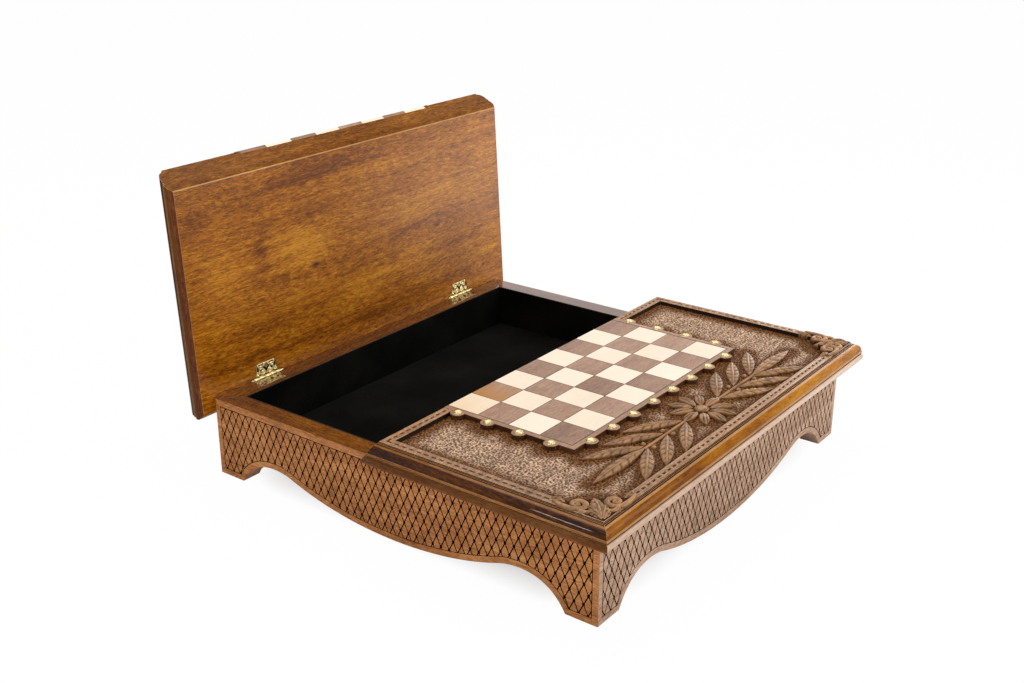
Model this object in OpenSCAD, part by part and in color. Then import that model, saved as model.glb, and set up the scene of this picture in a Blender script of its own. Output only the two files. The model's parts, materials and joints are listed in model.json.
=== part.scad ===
/* [Board] */
// Side of one chess square
square = 40; // [30:1:50]
// Thickness of the inlaid squares
square_t = 3.5; // [2:0.5:5]
// Joint left between neighbouring squares
square_joint = 0.1; // [0.05:0.05:0.5]
// Width of the dark stringing around the squares
stringing_w = 1; // [0.5:0.25:2]
// Wood left around the stringing on the board plate
plate_margin = 6; // [4:0.5:12]
// Distance of the stud centres from the edge of the squares
stud_out = 8.5; // [6:0.5:12]
// Radius of the round lobes that carry the studs
lobe_r = 8; // [6:0.5:12]
// Radius of a stud's dome
stud_r = 5; // [3:0.5:6]
// Height of a stud's dome
stud_h = 2.6; // [1.5:0.1:4]
// Radius of a stud's shank
stud_pin_r = 0.8; // [0.5:0.1:1.5]
// Length of a stud's shank
stud_pin_l = 4; // [2:0.5:5]

/* [Base] */
// Length of the base along the hinges
base_l = 518; // [480:1:600]
// Depth of the base across the hinges
base_w = 518; // [480:1:600]
// Height of the base
base_h = 93; // [80:1:140]
// Thickness of the carcass panels
wall_t = 24; // [20:1:28]
// Width of a foot
foot_w = 37; // [30:1:50]
// Width of an arch beside a foot
arch_w = 80; // [60:1:100]
// Height at which an arch runs into the belly
knee_h = 26; // [20:1:30]
// Slope of the outline where an arch runs into the belly
knee_slope = 0.36; // [0.25:0.01:0.45]
// Pull of an arch's crown above the floor
arch_pull = 39; // [32:1:42]
// Gap between the belly's lowest point and the floor
belly_gap = 3; // [1:0.5:8]
// Height of the underside of the bottom board
board_z = 32; // [32:1:40]
// Thickness of the bottom board
board_t = 6; // [4:0.5:9]
// Slack around the bottom board
board_slack = 0.3; // [0.1:0.1:1]
// Thickness of the felt
felt_t = 1.6; // [1:0.1:2.5]
// Width of the ledger strips under the bottom board
ledger_w = 12; // [8:1:16]
// Height of the ledger strips
ledger_h = 10; // [6:1:12]
// Length of the ledger strips
ledger_l = 240; // [120:5:250]
// Side of the corner glue blocks
block_w = 12; // [8:1:13]
// Gap between the glue blocks and the floor
block_gap = 4; // [2:1:10]
// Radius of a ledger screw's shank
ledger_screw_r = 1.5; // [1:0.1:2]
// Length of a ledger screw
ledger_screw_l = 20; // [16:1:24]
// Radius of a ledger screw's head
ledger_head_r = 3; // [2.5:0.5:4]
// Height of a ledger screw's head
ledger_head_h = 1.6; // [1:0.1:2.5]

/* [Leaves] */
// Height of a leaf
leaf_h = 26.5; // [26:0.5:36]
// Gap between a closed leaf and the base
lid_gap = 0.2; // [0.1:0.1:0.5]
// Reach of a leaf past the base
over = 21.5; // [21:0.5:28]
// Reach of the flat underside past the base
under_over = 17.5; // [14:0.5:17.5]
// Height of the slope between the underside and the edge fillet
slope_h = 4.8; // [2:0.1:5]
// Height of the edge fillet
fillet_h = 5.7; // [4:0.1:6]
// Depth of the quirk above the edge fillet
quirk_d = 1.8; // [1:0.1:2.5]
// Height of the quirk
quirk_h = 1.3; // [0.8:0.1:2]
// Height of the bead above the quirk
bead_h = 2.4; // [1.5:0.1:3]
// Setback of the bead from the edge fillet
bead_back = 1; // [0.6:0.1:1.6]
// Radius of the ovolo
ovolo_r = 10; // [8:0.5:10.5]
// Height of the fillet above the ovolo
lip_h = 1; // [0.5:0.1:1.5]
// Reach of the rim's top past the base
rim_over = 9.5; // [7:0.5:10.5]
// Width of the rim around the carved field
rim_w = 11.5; // [9:0.5:16]
// Depth of the carved field below the rim
field_d = 5.5; // [4:0.5:8]
// Run of the slanted split between the leaves
split_run = 19; // [10:0.5:22]
// Gap between the leaves at the split
split_gap = 0.8; // [0.5:0.1:2]

/* [Carvings] */
// Height of the carvings above the field
carving_h = 4.5; // [3:0.5:5.5]
// Height of the thin tips of a carved leaf
tip_h = 1.5; // [0.5:0.5:2.5]
// Plain ground left beside the carvings
carving_margin = 3; // [1:0.5:8]
// Radius of the rosette's middle
boss_r = 8; // [6:0.5:10]
// Petals of the rosette
petals = 10; // [8:1:12]
// Angle between a spray's leaves and its stem
spray_deg = 30; // [24:1:36]
// Distance between a spray's pairs of leaves
spray_pitch = 38; // [34:1:60]
// Width of a spray's leaf
spray_w = 15; // [8:1:16]
// Width of a spray's stem
stem_w = 4; // [2:0.5:6]
// Gap between neighbouring carvings
carving_gap = 0.5; // [0.3:0.1:2]
// Length of a corner leaf
corner_l = 48; // [36:1:54]
// Width of a corner leaf
corner_w = 15; // [10:1:16]
// Angle between a corner's side leaves and the rim
corner_deg = 17; // [15:1:20]
// Height of the corner carvings above the rim
corner_lift = 1.5; // [0.5:0.5:3]

/* [Hinges] */
// Distance of each hinge's middle from the end of the base
hinge_inset = 80.5; // [60:0.5:140]
// Distance of the hinge axis outside the base
axis_out = 1.1; // [0.9:0.1:1.5]
// Gap left at the stop of an opened leaf
stop_gap = 0.15; // [0.1:0.05:0.4]
// Length of a hinge barrel
barrel_l = 43; // [36:1:60]
// Radius of a hinge barrel
barrel_r = 2.1; // [1.9:0.1:2.5]
// Radius of a hinge pin
pin_r = 1; // [0.8:0.1:1.2]
// Radius of the ball at each end of a pin
finial_r = 1.6; // [1.3:0.1:1.8]
// Radial clearance of a pin in the leaf's knuckles
pin_fit = 0.05; // [0.03:0.01:0.1]
// Gap between neighbouring knuckles
knuckle_gap = 0.2; // [0.1:0.05:0.5]
// Room around the barrel in the wood
barrel_room = 0.4; // [0.3:0.1:0.8]
// Thickness of a hinge plate
plate_t = 1.2; // [1:0.1:1.5]
// Reach of a hinge plate from the axis
plate_reach = 17.5; // [15.5:0.5:18.5]
// Width of a hinge plate beside the barrel
plate_wide = 36; // [32:1:42]
// Width of a hinge plate at its far edge
plate_narrow = 28; // [24:1:36]
// Depth of a plate's face below the wood
plate_inset = 0.1; // [0.1:0.05:0.3]
// Room around a hinge plate in its mortise
mortise_room = 0.3; // [0.2:0.1:0.6]
// Radius of a hinge screw's shank
screw_r = 0.9; // [0.7:0.1:1.1]
// Radius of a hinge screw's head
screw_head_r = 1.9; // [1.6:0.1:2.2]
// Height of a hinge screw's head
screw_head_h = 1; // [0.6:0.1:1.1]
// Length of a hinge screw
screw_l = 9; // [6:1:12]
// Room around a screw in its hinge plate
screw_room = 0.05; // [0.03:0.01:0.15]
// Distance of the far screw from the axis
screw_far = 12.5; // [11:0.5:13]
// Distance of the near screws from the axis
screw_near = 6.5; // [5.5:0.5:8]
// Distance of the near screws from the plate's middle
screw_side = 11; // [8:0.5:12]

/* [Hidden] */
$fn = 64;
// Facets to a turn on arcs of a large radius
fine = 480;

// Cuts pass this far through a face
past = 1;
files = 8;
ranks = 4;
knuckles = 5;
base_knuckles = [0, 2, 4];
flap_knuckles = [1, 3];
LEFT = -1;
RIGHT = 1;

walnut = "#7a4e2a";
walnut_ground = "#8a6242";
maple = "#f3e3c8";
pale_walnut = "#8f6b55";
dyed_black = "#2a1c12";
felt_black = "#141414";
plywood = "#b08a5c";
antique_brass = "#b6a269";
steel = "#8c8c88";

half_l = base_l / 2;
half_w = base_w / 2;
in_l = half_l - wall_t;
in_w = half_w - wall_t;
hinge_x = half_l - hinge_inset;
felt_z = board_z + board_t + felt_t;
lid_z = base_h + lid_gap;
top_z = lid_z + leaf_h;
field_z = top_z - field_d;

// The hinge axis lies in the middle of the gap under a closed leaf
axis_v = half_w + axis_out;
axis_z = base_h + lid_gap / 2;
// An opened leaf stops where the edge of its underside meets the base
open_deg = 90 + asin((axis_out - stop_gap) / (under_over - axis_out));

// The board plate, with x along the split and y outward from it
board_half = files / 2 * square;
board_reach = ranks * square;
inlay_half = board_half + stringing_w;
inlay_reach = board_reach + stringing_w;
plate_half = inlay_half + plate_margin;
plate_end = inlay_reach + plate_margin;
stud_x = board_half + stud_out;
stud_y = board_reach + stud_out;

// The field inside the rim, and the strip of it past the board plate
rim_in = rim_w - rim_over;
field_half = half_l - rim_in;
field_reach = half_w - rim_in;
strip_half = (field_reach - stud_y - lobe_r) / 2;
strip_y = field_reach - strip_half;
carving_reach = strip_half - carving_margin;
spray_x = carving_reach + carving_gap;
spray_l = carving_reach / sin(spray_deg);
spray_end = field_half - corner_l - carving_gap;
spray_pairs = floor((spray_end - spray_x - spray_l * cos(spray_deg)) / spray_pitch) + 1;
last_x = spray_x + (spray_pairs - 1) * spray_pitch;

// The origin is the middle of the footprint while the rear leaf stands open
low_y = -half_w - over;
edge_y = opened_y(split_gap / 2, top_z);
stud_top_y = opened_y(square / 2, top_z + stud_h);
base_y = -(low_y + max(edge_y, stud_top_y)) / 2;
function opened_y(y, z) = axis_v + (y - axis_v) * cos(open_deg) + (z - axis_z) * sin(open_deg);

// ---- Places ---------------------------------------------------------------

module in_base() {
  translate([0, base_y, 0]) children();
}
module on_front_leaf() {
  in_base() mirror([0, 1, 0]) children();
}
module on_rear_leaf() {
  in_base() translate([0, axis_v, axis_z])
    rotate([-open_deg, 0, 0])
      translate([0, -axis_v, -axis_z]) children();
}
// A hinge's own place, with its axis along x and y outward
module at_hinge(side) {
  translate([side * hinge_x, axis_v, axis_z]) children();
}
module at_hinges() {
  for (side = [LEFT, RIGHT]) at_hinge(side) children();
}

// ---- Carcass --------------------------------------------------------------

// Shares of the outline's stretches at which its curves are pulled
level_share = 0.35;
climb_share = 0.3;
rise_share = 0.2;
crown_share = 0.27;
curve_steps = 20;

function bezier(p, t) =
  pow(1 - t, 3) * p[0] + 3 * t * pow(1 - t, 2) * p[1]
  + 3 * t * t * (1 - t) * p[2] + pow(t, 3) * p[3];
function curve(p) = [for (i = [1 : curve_steps]) bezier(p, i / curve_steps)];

// Lower outline of half a panel: the belly up to the knee, then the arch
function half_outline(half) =
  let (foot = half - foot_w,
       knee = foot - arch_w,
       climb = climb_share * knee,
       rise = rise_share * arch_w)
  concat(
    [[0, belly_gap]],
    curve([[0, belly_gap], [level_share * knee, belly_gap],
           [knee - climb, knee_h - climb * knee_slope], [knee, knee_h]]),
    curve([[knee, knee_h], [knee + rise, knee_h + rise * knee_slope],
           [foot - crown_share * arch_w, arch_pull], [foot, 0]]));

function mirrored(points) = [for (i = [len(points) - 1 : -1 : 0]) [-points[i][0], points[i][1]]];

module skirt(half) {
  run = half_outline(half);
  right = concat(run, [[half, 0], [half, base_h]]);
  left = mirrored(concat([for (i = [1 : len(run) - 1]) run[i]], [[half, 0], [half, base_h]]));
  polygon(concat(right, left));
}

// A panel with mitred ends, its outer face at y = -reach
module panel(half, reach) {
  inner = reach - wall_t;
  difference() {
    intersection() {
      translate([0, -inner, 0]) rotate([90, 0, 0])
        linear_extrude(wall_t) skirt(half);
      linear_extrude(base_h)
        polygon([[-half, -reach], [half, -reach],
                 [half - wall_t, -inner], [wall_t - half, -inner]]);
    }
    ledger_screw_pair(inner);
  }
}

module hinged_panel() {
  difference() {
    panel(half_l, half_w);
    mirror([0, 1, 0]) at_hinges() hinge_seat();
  }
}

module front_panel() {
  color(walnut) in_base() hinged_panel();
}
module back_panel() {
  color(walnut) in_base() mirror([0, 1, 0]) hinged_panel();
}
module left_panel() {
  color(walnut) in_base() rotate([0, 0, -90]) panel(half_w, half_l);
}
module right_panel() {
  color(walnut) in_base() rotate([0, 0, 90]) panel(half_w, half_l);
}

module bottom_board() {
  half_x = in_l - board_slack;
  half_y = in_w - board_slack;
  color(plywood) in_base()
    translate([-half_x, -half_y, board_z]) cube([2 * half_x, 2 * half_y, board_t]);
}

// A ledger strip under the bottom board, against a panel's inner face
module ledger(inner) {
  color(plywood) difference() {
    translate([-ledger_l / 2, -inner, board_z - ledger_h])
      cube([ledger_l, ledger_w, ledger_h]);
    ledger_screw_pair(inner);
  }
}
module ledger_screw_pair(inner) {
  for (side = [LEFT, RIGHT])
    translate([side * ledger_l / 3, ledger_w - inner, board_z - ledger_h / 2]) rotate([90, 0, 0]) {
      cylinder(h = ledger_screw_l, r = ledger_screw_r);
      translate([0, 0, -ledger_head_h]) cylinder(h = ledger_head_h, r = ledger_head_r);
    }
}
module front_ledger() {
  in_base() ledger(in_w);
}
module back_ledger() {
  in_base() rotate([0, 0, 180]) ledger(in_w);
}
module left_ledger() {
  in_base() rotate([0, 0, -90]) ledger(in_l);
}
module right_ledger() {
  in_base() rotate([0, 0, 90]) ledger(in_l);
}
module ledger_screws() {
  color(steel) in_base() {
    for (turn = [0, 180]) rotate([0, 0, turn]) ledger_screw_pair(in_w);
    for (turn = [-90, 90]) rotate([0, 0, turn]) ledger_screw_pair(in_l);
  }
}

// A glue block in a corner of the carcass, behind the foot
module corner_block(side_x, side_y) {
  color(plywood) in_base()
    translate([side_x * (in_l - block_w / 2), side_y * (in_w - block_w / 2), (board_z + block_gap) / 2])
      cube([block_w, block_w, board_z - block_gap], center = true);
}
module front_left_block() { corner_block(LEFT, -1); }
module front_right_block() { corner_block(RIGHT, -1); }
module back_left_block() { corner_block(LEFT, 1); }
module back_right_block() { corner_block(RIGHT, 1); }

// ---- Felt -----------------------------------------------------------------

module felt_floor() {
  color(felt_black) in_base()
    translate([-in_l, -in_w, felt_z - felt_t]) cube([2 * in_l, 2 * in_w, felt_t]);
}
module felt_wall(half, inner) {
  color(felt_black)
    translate([-half, -inner, felt_z]) cube([2 * half, felt_t, base_h - felt_z]);
}
module front_felt() {
  in_base() felt_wall(in_l, in_w);
}
module back_felt() {
  in_base() rotate([0, 0, 180]) felt_wall(in_l, in_w);
}
module left_felt() {
  in_base() rotate([0, 0, -90]) felt_wall(in_w - felt_t, in_l);
}
module right_felt() {
  in_base() rotate([0, 0, 90]) felt_wall(in_w - felt_t, in_l);
}

// ---- Leaves ---------------------------------------------------------------
// A leaf is drawn closed, with the split along x and y outward from it.

// Section of a leaf outward to its moulded edge; its inner end slants from low to high
module leaf_section(half, low, high) {
  edge = half + over;
  quirk_z = slope_h + fillet_h;
  bead_z = quirk_z + quirk_h;
  riser_z = bead_z + bead_h;
  ovolo_z = leaf_h - lip_h - ovolo_r;
  ovolo_x = half + rim_over;
  polygon([[low, 0], [half + under_over, 0], [edge, slope_h], [edge, quirk_z],
           [edge - quirk_d, quirk_z], [edge - quirk_d, riser_z],
           [ovolo_x, riser_z], [ovolo_x, leaf_h], [high, leaf_h]]);
  translate([ovolo_x, riser_z]) square([ovolo_r, ovolo_z - riser_z]);
  translate([edge - bead_back - bead_h / 2, bead_z + bead_h / 2]) circle(bead_h / 2);
  intersection() {
    translate([ovolo_x, ovolo_z]) circle(ovolo_r);
    translate([ovolo_x, ovolo_z]) square(ovolo_r);
  }
}

// Everything that lies within a leaf's section across the split
module split_limits(run) {
  translate([0, 0, lid_z]) rotate([90, 0, 90])
    linear_extrude(2 * (half_l + over), center = true)
      leaf_section(half_w, split_gap / 2 + run, split_gap / 2);
}

module leaf_blank(run) {
  intersection() {
    split_limits(run);
    translate([0, 0, lid_z]) rotate([90, 0, 0])
      linear_extrude(2 * (half_w + over), center = true)
        union() { leaf_section(half_l, 0, 0); mirror([1, 0]) leaf_section(half_l, 0, 0); }
  }
}

// The field, with a way out at the split for the board plate
module field_outline() {
  translate([-field_half, rim_w]) square([2 * field_half, field_reach - rim_w]);
  translate([-plate_half, -split_run]) square([2 * plate_half, field_reach + split_run]);
}

module leaf(run) {
  color(walnut) difference() {
    leaf_blank(run);
    translate([0, 0, field_z]) linear_extrude(field_d + past) field_outline();
    at_hinges() mirror([0, 0, 1]) hinge_seat();
  }
}

module at_studs() {
  for (side = [LEFT, RIGHT], rank = [1 : ranks])
    translate([side * stud_x, (rank - 0.5) * square]) children();
  for (file = [1 : files])
    translate([(file - 0.5) * square - board_half, stud_y]) children();
}

module board_plate(run) {
  color(walnut_ground) difference() {
    intersection() {
      translate([0, 0, field_z]) linear_extrude(field_d) {
        translate([-plate_half, -split_run]) square([2 * plate_half, plate_end + split_run]);
        at_studs() circle(lobe_r);
      }
      split_limits(run);
    }
    translate([-inlay_half, -split_run, top_z - square_t])
      cube([2 * inlay_half, inlay_reach + split_run, square_t + past]);
    translate([0, 0, top_z - stud_pin_l]) linear_extrude(stud_pin_l + past)
      at_studs() circle(stud_pin_r);
  }
}

// The squares whose file and rank add up to an odd or an even number
module squares(run, odd) {
  gap = square_joint / 2;
  intersection() {
    split_limits(run);
    for (file = [0 : files - 1], rank = [0 : ranks - 1])
      if ((file + rank) % 2 == odd) {
        low = rank == 0 ? -split_run : rank * square + gap;
        high = (rank + 1) * square - gap;
        translate([file * square - board_half + gap, low, top_z - square_t])
          cube([square - square_joint, high - low, square_t]);
      }
  }
}

module stringing(run) {
  color(dyed_black) intersection() {
    split_limits(run);
    difference() {
      translate([-inlay_half, -split_run, top_z - square_t])
        cube([2 * inlay_half, inlay_reach + split_run, square_t]);
      translate([-board_half, -split_run - past, top_z - square_t - past])
        cube([2 * board_half, board_reach + split_run + past, square_t + 2 * past]);
    }
  }
}

module studs() {
  ball_r = (stud_r * stud_r + stud_h * stud_h) / (2 * stud_h);
  color(antique_brass) at_studs() {
    intersection() {
      translate([0, 0, top_z + stud_h - ball_r]) sphere(ball_r);
      translate([0, 0, top_z]) cylinder(h = stud_h + past, r = stud_r + past);
    }
    translate([0, 0, top_z - stud_pin_l]) cylinder(h = stud_pin_l, r = stud_pin_r);
  }
}

// ---- Carvings -------------------------------------------------------------

// A pointed leaf in plan, from the origin along x
module leaf_outline(long, wide) {
  bow = (long * long + wide * wide) / (4 * wide);
  intersection_for (side = [-1, 1])
    translate([long / 2, side * (bow - wide / 2)]) circle(bow, $fn = fine);
}

// A carved leaf, domed from its thin tips up to its middle
module carved_leaf(long, wide) {
  drop = carving_h - tip_h;
  dome = (long * long / 4 + drop * drop) / (2 * drop);
  intersection() {
    linear_extrude(carving_h + past) leaf_outline(long, wide);
    translate([long / 2, 0, carving_h - dome]) rotate([90, 0, 0])
      cylinder(h = wide + past, r = dome, center = true, $fn = fine);
  }
}

// Petals are closest a third of the way along, where they are 8/9 of their full width
module rosette() {
  petal_l = carving_reach - boss_r - carving_gap;
  petal_room = 2 * (boss_r + petal_l / 3) * sin(180 / petals) - carving_gap;
  petal_w = petal_room * 9 / 8;
  cylinder(h = carving_h, r = boss_r);
  for (petal = [1 : petals])
    rotate([0, 0, petal * 360 / petals]) translate([boss_r + carving_gap, 0, 0])
      carved_leaf(petal_l, petal_w);
}

// Pairs of leaves along a stem, from the rosette towards the corner
module spray() {
  offset_y = stem_w / 2 + carving_gap;
  for (pair = [1 : spray_pairs], side = [-1, 1])
    translate([spray_x + (pair - 1) * spray_pitch, side * offset_y, 0])
      rotate([0, 0, side * spray_deg])
        carved_leaf(spray_l - offset_y / sin(spray_deg), spray_w);
  translate([spray_x, -stem_w / 2, 0]) cube([last_x - spray_x + carving_gap, stem_w, tip_h]);
  translate([last_x + 2 * carving_gap, 0, 0]) carved_leaf(spray_end - last_x - 2 * carving_gap, spray_w);
}

module spray_carving() {
  color(walnut) translate([0, strip_y, field_z]) {
    rosette();
    spray();
    mirror([1, 0, 0]) spray();
  }
}

// Three leaves that spread from the rim's corner over the field
module corner_outline() {
  root = corner_w / 4 - rim_w;
  translate([root, root]) {
    rotate(corner_deg) leaf_outline(corner_l, corner_w);
    rotate(90 - corner_deg) leaf_outline(corner_l, corner_w);
    rotate(45) leaf_outline(corner_l, corner_w);
    circle(corner_w / 4);
  }
}
module corner_carving() {
  translate([0, 0, top_z]) linear_extrude(corner_lift) corner_outline();
  translate([0, 0, field_z]) linear_extrude(field_d) intersection() {
    corner_outline();
    square(corner_l);
  }
}
module corner_carvings() {
  color(walnut) for (side = [LEFT, RIGHT])
    scale([-side, 1, 1]) translate([-field_half, field_reach, 0]) mirror([0, 1, 0]) corner_carving();
}

// ---- Hinges ---------------------------------------------------------------
// A hinge is drawn with its axis along x through the origin and y outward.
// The base half lies below the axis; the flap half is the same, turned over.

knuckle_l = (barrel_l - (knuckles - 1) * knuckle_gap) / knuckles;
ball_x = barrel_l / 2 + knuckle_gap + finial_r;
seat_l = 2 * (ball_x + finial_r + barrel_room);
plate_face = -lid_gap / 2 - plate_inset;
plate_back = plate_face - plate_t;

// A round bar along the axis from x = start
module bar(start, long, r) {
  translate([start, 0, 0]) rotate([0, 90, 0]) cylinder(h = long, r = r);
}
function knuckle_start(place) = place * (knuckle_l + knuckle_gap) - barrel_l / 2;

module plate_outline(room) {
  near = plate_wide / 2 + room;
  far = plate_narrow / 2 + room;
  polygon([[-near, 0], [near, 0], [far, -plate_reach - room], [-far, -plate_reach - room]]);
}

module at_screws() {
  for (place = [[0, -screw_far], [-screw_side, -screw_near], [screw_side, -screw_near]])
    translate([place[0], place[1], plate_face]) children();
}
module screw(room) {
  translate([0, 0, -screw_l]) cylinder(h = screw_l, r = screw_r + room);
  translate([0, 0, -screw_head_h])
    cylinder(h = screw_head_h, r1 = screw_r + room, r2 = screw_head_r + room);
}

// What the wood gives up to one half of a hinge
module hinge_seat() {
  bar(-seat_l / 2, seat_l, barrel_r + barrel_room);
  translate([0, 0, plate_back]) linear_extrude(-plate_back) plate_outline(mortise_room);
  at_screws() screw(0);
}

module hinge_half(own, other) {
  color(antique_brass) difference() {
    union() {
      translate([0, 0, plate_back]) linear_extrude(plate_t) plate_outline(0);
      for (place = own) bar(knuckle_start(place), knuckle_l, barrel_r);
    }
    for (place = other)
      bar(knuckle_start(place) - knuckle_gap, knuckle_l + 2 * knuckle_gap, barrel_r + barrel_room);
    bar(-barrel_l / 2 - past, barrel_l + 2 * past, pin_r + pin_fit);
    at_screws() screw(screw_room);
  }
}
module hinge_base() {
  hinge_half(base_knuckles, flap_knuckles);
}
module hinge_flap() {
  mirror([0, 0, 1]) hinge_half(flap_knuckles, base_knuckles);
}
module hinge_pin() {
  color(antique_brass) {
    bar(-ball_x, 2 * ball_x, pin_r);
    for (side = [LEFT, RIGHT]) translate([side * ball_x, 0, 0]) sphere(finial_r);
  }
}
module hinge_screws() {
  color(antique_brass) at_hinges() at_screws() screw(0);
}
module flap_screws() {
  color(antique_brass) at_hinges() mirror([0, 0, 1]) at_screws() screw(0);
}

// ---- Nodes ----------------------------------------------------------------

module front_leaf() { on_front_leaf() leaf(-split_run); }
module front_board_plate() { on_front_leaf() board_plate(-split_run); }
module front_light_squares() { color(maple) on_front_leaf() squares(-split_run, 0); }
module front_dark_squares() { color(pale_walnut) on_front_leaf() squares(-split_run, 1); }
module front_stringing() { on_front_leaf() stringing(-split_run); }
module front_studs() { on_front_leaf() studs(); }
module front_spray_carving() { on_front_leaf() spray_carving(); }
module front_corner_carvings() { on_front_leaf() corner_carvings(); }

module rear_leaf() { on_rear_leaf() leaf(split_run); }
module rear_board_plate() { on_rear_leaf() board_plate(split_run); }
module rear_light_squares() { color(maple) on_rear_leaf() squares(split_run, 1); }
module rear_dark_squares() { color(pale_walnut) on_rear_leaf() squares(split_run, 0); }
module rear_stringing() { on_rear_leaf() stringing(split_run); }
module rear_studs() { on_rear_leaf() studs(); }
module rear_spray_carving() { on_rear_leaf() spray_carving(); }
module rear_corner_carvings() { on_rear_leaf() corner_carvings(); }

module front_left_hinge_base() { on_front_leaf() at_hinge(LEFT) hinge_base(); }
module front_left_hinge_flap() { on_front_leaf() at_hinge(LEFT) hinge_flap(); }
module front_left_hinge_pin() { on_front_leaf() at_hinge(LEFT) hinge_pin(); }
module front_right_hinge_base() { on_front_leaf() at_hinge(RIGHT) hinge_base(); }
module front_right_hinge_flap() { on_front_leaf() at_hinge(RIGHT) hinge_flap(); }
module front_right_hinge_pin() { on_front_leaf() at_hinge(RIGHT) hinge_pin(); }
module rear_left_hinge_base() { in_base() at_hinge(LEFT) hinge_base(); }
module rear_left_hinge_flap() { on_rear_leaf() at_hinge(LEFT) hinge_flap(); }
module rear_left_hinge_pin() { in_base() at_hinge(LEFT) hinge_pin(); }
module rear_right_hinge_base() { in_base() at_hinge(RIGHT) hinge_base(); }
module rear_right_hinge_flap() { on_rear_leaf() at_hinge(RIGHT) hinge_flap(); }
module rear_right_hinge_pin() { in_base() at_hinge(RIGHT) hinge_pin(); }
module front_base_screws() { on_front_leaf() hinge_screws(); }
module front_flap_screws() { on_front_leaf() flap_screws(); }
module rear_base_screws() { in_base() hinge_screws(); }
module rear_flap_screws() { on_rear_leaf() flap_screws(); }

front_panel();
back_panel();
left_panel();
right_panel();
bottom_board();
front_ledger();
back_ledger();
left_ledger();
right_ledger();
ledger_screws();
front_left_block();
front_right_block();
back_left_block();
back_right_block();
felt_floor();
front_felt();
back_felt();
left_felt();
right_felt();
front_leaf();
front_board_plate();
front_light_squares();
front_dark_squares();
front_stringing();
front_studs();
front_spray_carving();
front_corner_carvings();
rear_leaf();
rear_board_plate();
rear_light_squares();
rear_dark_squares();
rear_stringing();
rear_studs();
rear_spray_carving();
rear_corner_carvings();
front_left_hinge_base();
front_left_hinge_flap();
front_left_hinge_pin();
front_right_hinge_base();
front_right_hinge_flap();
front_right_hinge_pin();
rear_left_hinge_base();
rear_left_hinge_flap();
rear_left_hinge_pin();
rear_right_hinge_base();
rear_right_hinge_flap();
rear_right_hinge_pin();
front_base_screws();
front_flap_screws();
rear_base_screws();
rear_flap_screws();
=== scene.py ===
import json
import math

import bmesh
import bpy
import numpy as np
from mathutils import Matrix, Vector

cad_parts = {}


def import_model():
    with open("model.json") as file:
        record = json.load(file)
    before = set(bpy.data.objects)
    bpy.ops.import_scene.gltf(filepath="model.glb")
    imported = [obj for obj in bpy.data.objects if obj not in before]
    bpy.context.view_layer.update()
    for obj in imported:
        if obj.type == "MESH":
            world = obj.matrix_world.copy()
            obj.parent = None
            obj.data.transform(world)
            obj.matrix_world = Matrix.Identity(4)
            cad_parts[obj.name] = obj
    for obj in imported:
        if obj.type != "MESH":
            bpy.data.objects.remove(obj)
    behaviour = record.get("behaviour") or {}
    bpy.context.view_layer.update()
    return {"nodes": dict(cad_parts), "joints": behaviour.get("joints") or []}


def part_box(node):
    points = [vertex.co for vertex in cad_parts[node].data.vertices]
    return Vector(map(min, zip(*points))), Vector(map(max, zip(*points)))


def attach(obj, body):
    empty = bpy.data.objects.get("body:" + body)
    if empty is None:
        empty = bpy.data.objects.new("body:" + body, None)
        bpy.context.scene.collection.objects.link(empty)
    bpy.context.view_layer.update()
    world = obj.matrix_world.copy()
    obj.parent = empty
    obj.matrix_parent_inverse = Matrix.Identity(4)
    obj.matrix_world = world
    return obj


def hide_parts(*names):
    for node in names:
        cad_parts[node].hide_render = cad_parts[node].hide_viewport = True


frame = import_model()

# ---- Sizes -------------------------------------------------------------------
# Everything is worked in millimetres; MM turns it into the frame's metres.
MM = 0.001


def box_mm(node):
    """The lowest and the highest corner of a CAD node's box."""
    low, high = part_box(node)
    return np.array(low) / MM, np.array(high) / MM


front_low, front_high = box_mm("front_panel")
_, back_high = box_mm("back_panel")
leaf_low, leaf_high = box_mm("front_leaf")
floor_low, floor_high = box_mm("felt_floor")
BASE_Y = (front_low[1] + back_high[1]) / 2
HALF_L = front_high[0]
HALF_W = (back_high[1] - front_low[1]) / 2
BASE_H = front_high[2]
WALL_T = front_high[1] - front_low[1]
OVER = leaf_high[0] - HALF_L
LID_Z = leaf_low[2]
LEAF_H = leaf_high[2] - leaf_low[2]
FELT_Z = floor_high[2]
FELT_T = floor_high[2] - floor_low[2]

JOINTS = {joint["name"]: joint for joint in frame["joints"]}
REAR_AXIS = Vector(JOINTS["rear_lid_hinge"]["pos_m"])
OPEN = math.radians(JOINTS["rear_lid_hinge"]["range_deg"][1])
AXIS_Z = REAR_AXIS.z / MM
AXIS_V = REAR_AXIS.y / MM - BASE_Y
OPENED = Matrix.Translation(REAR_AXIS) @ Matrix.Rotation(-OPEN, 4, "X") @ Matrix.Translation(-REAR_AXIS)

# The part's own sizes that its boxes don't tell
UNDER_OVER = 17.5
SLOPE_H = 4.8
FILLET_H = 5.7
QUIRK_D = 1.8
QUIRK_H = 1.3
BEAD_H = 2.4
BEAD_BACK = 1.0
OVOLO_R = 10.0
RIM_OVER = 9.5
RIM_W = 11.5
FIELD_D = 5.5
SPLIT_RUN = 19.0
SPLIT_GAP = 0.8
SQUARE = 40.0
SQUARE_T = 3.5
SQUARE_JOINT = 0.1
STRINGING = 1.0
PLATE_MARGIN = 6.0
STUD_OUT = 8.5
LOBE_R = 8.0
STUD_R = 5.0
STUD_H = 2.6
STUD_STEPS = 48
FOOT_W = 37.0
ARCH_W = 80.0
KNEE_H = 26.0
KNEE_SLOPE = 0.36
ARCH_PULL = 39.0
BELLY_GAP = 3.0
PIN_LOW, PIN_HIGH = box_mm("rear_right_hinge_pin")
HINGE_X = (PIN_LOW[0] + PIN_HIGH[0]) / 2
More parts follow.
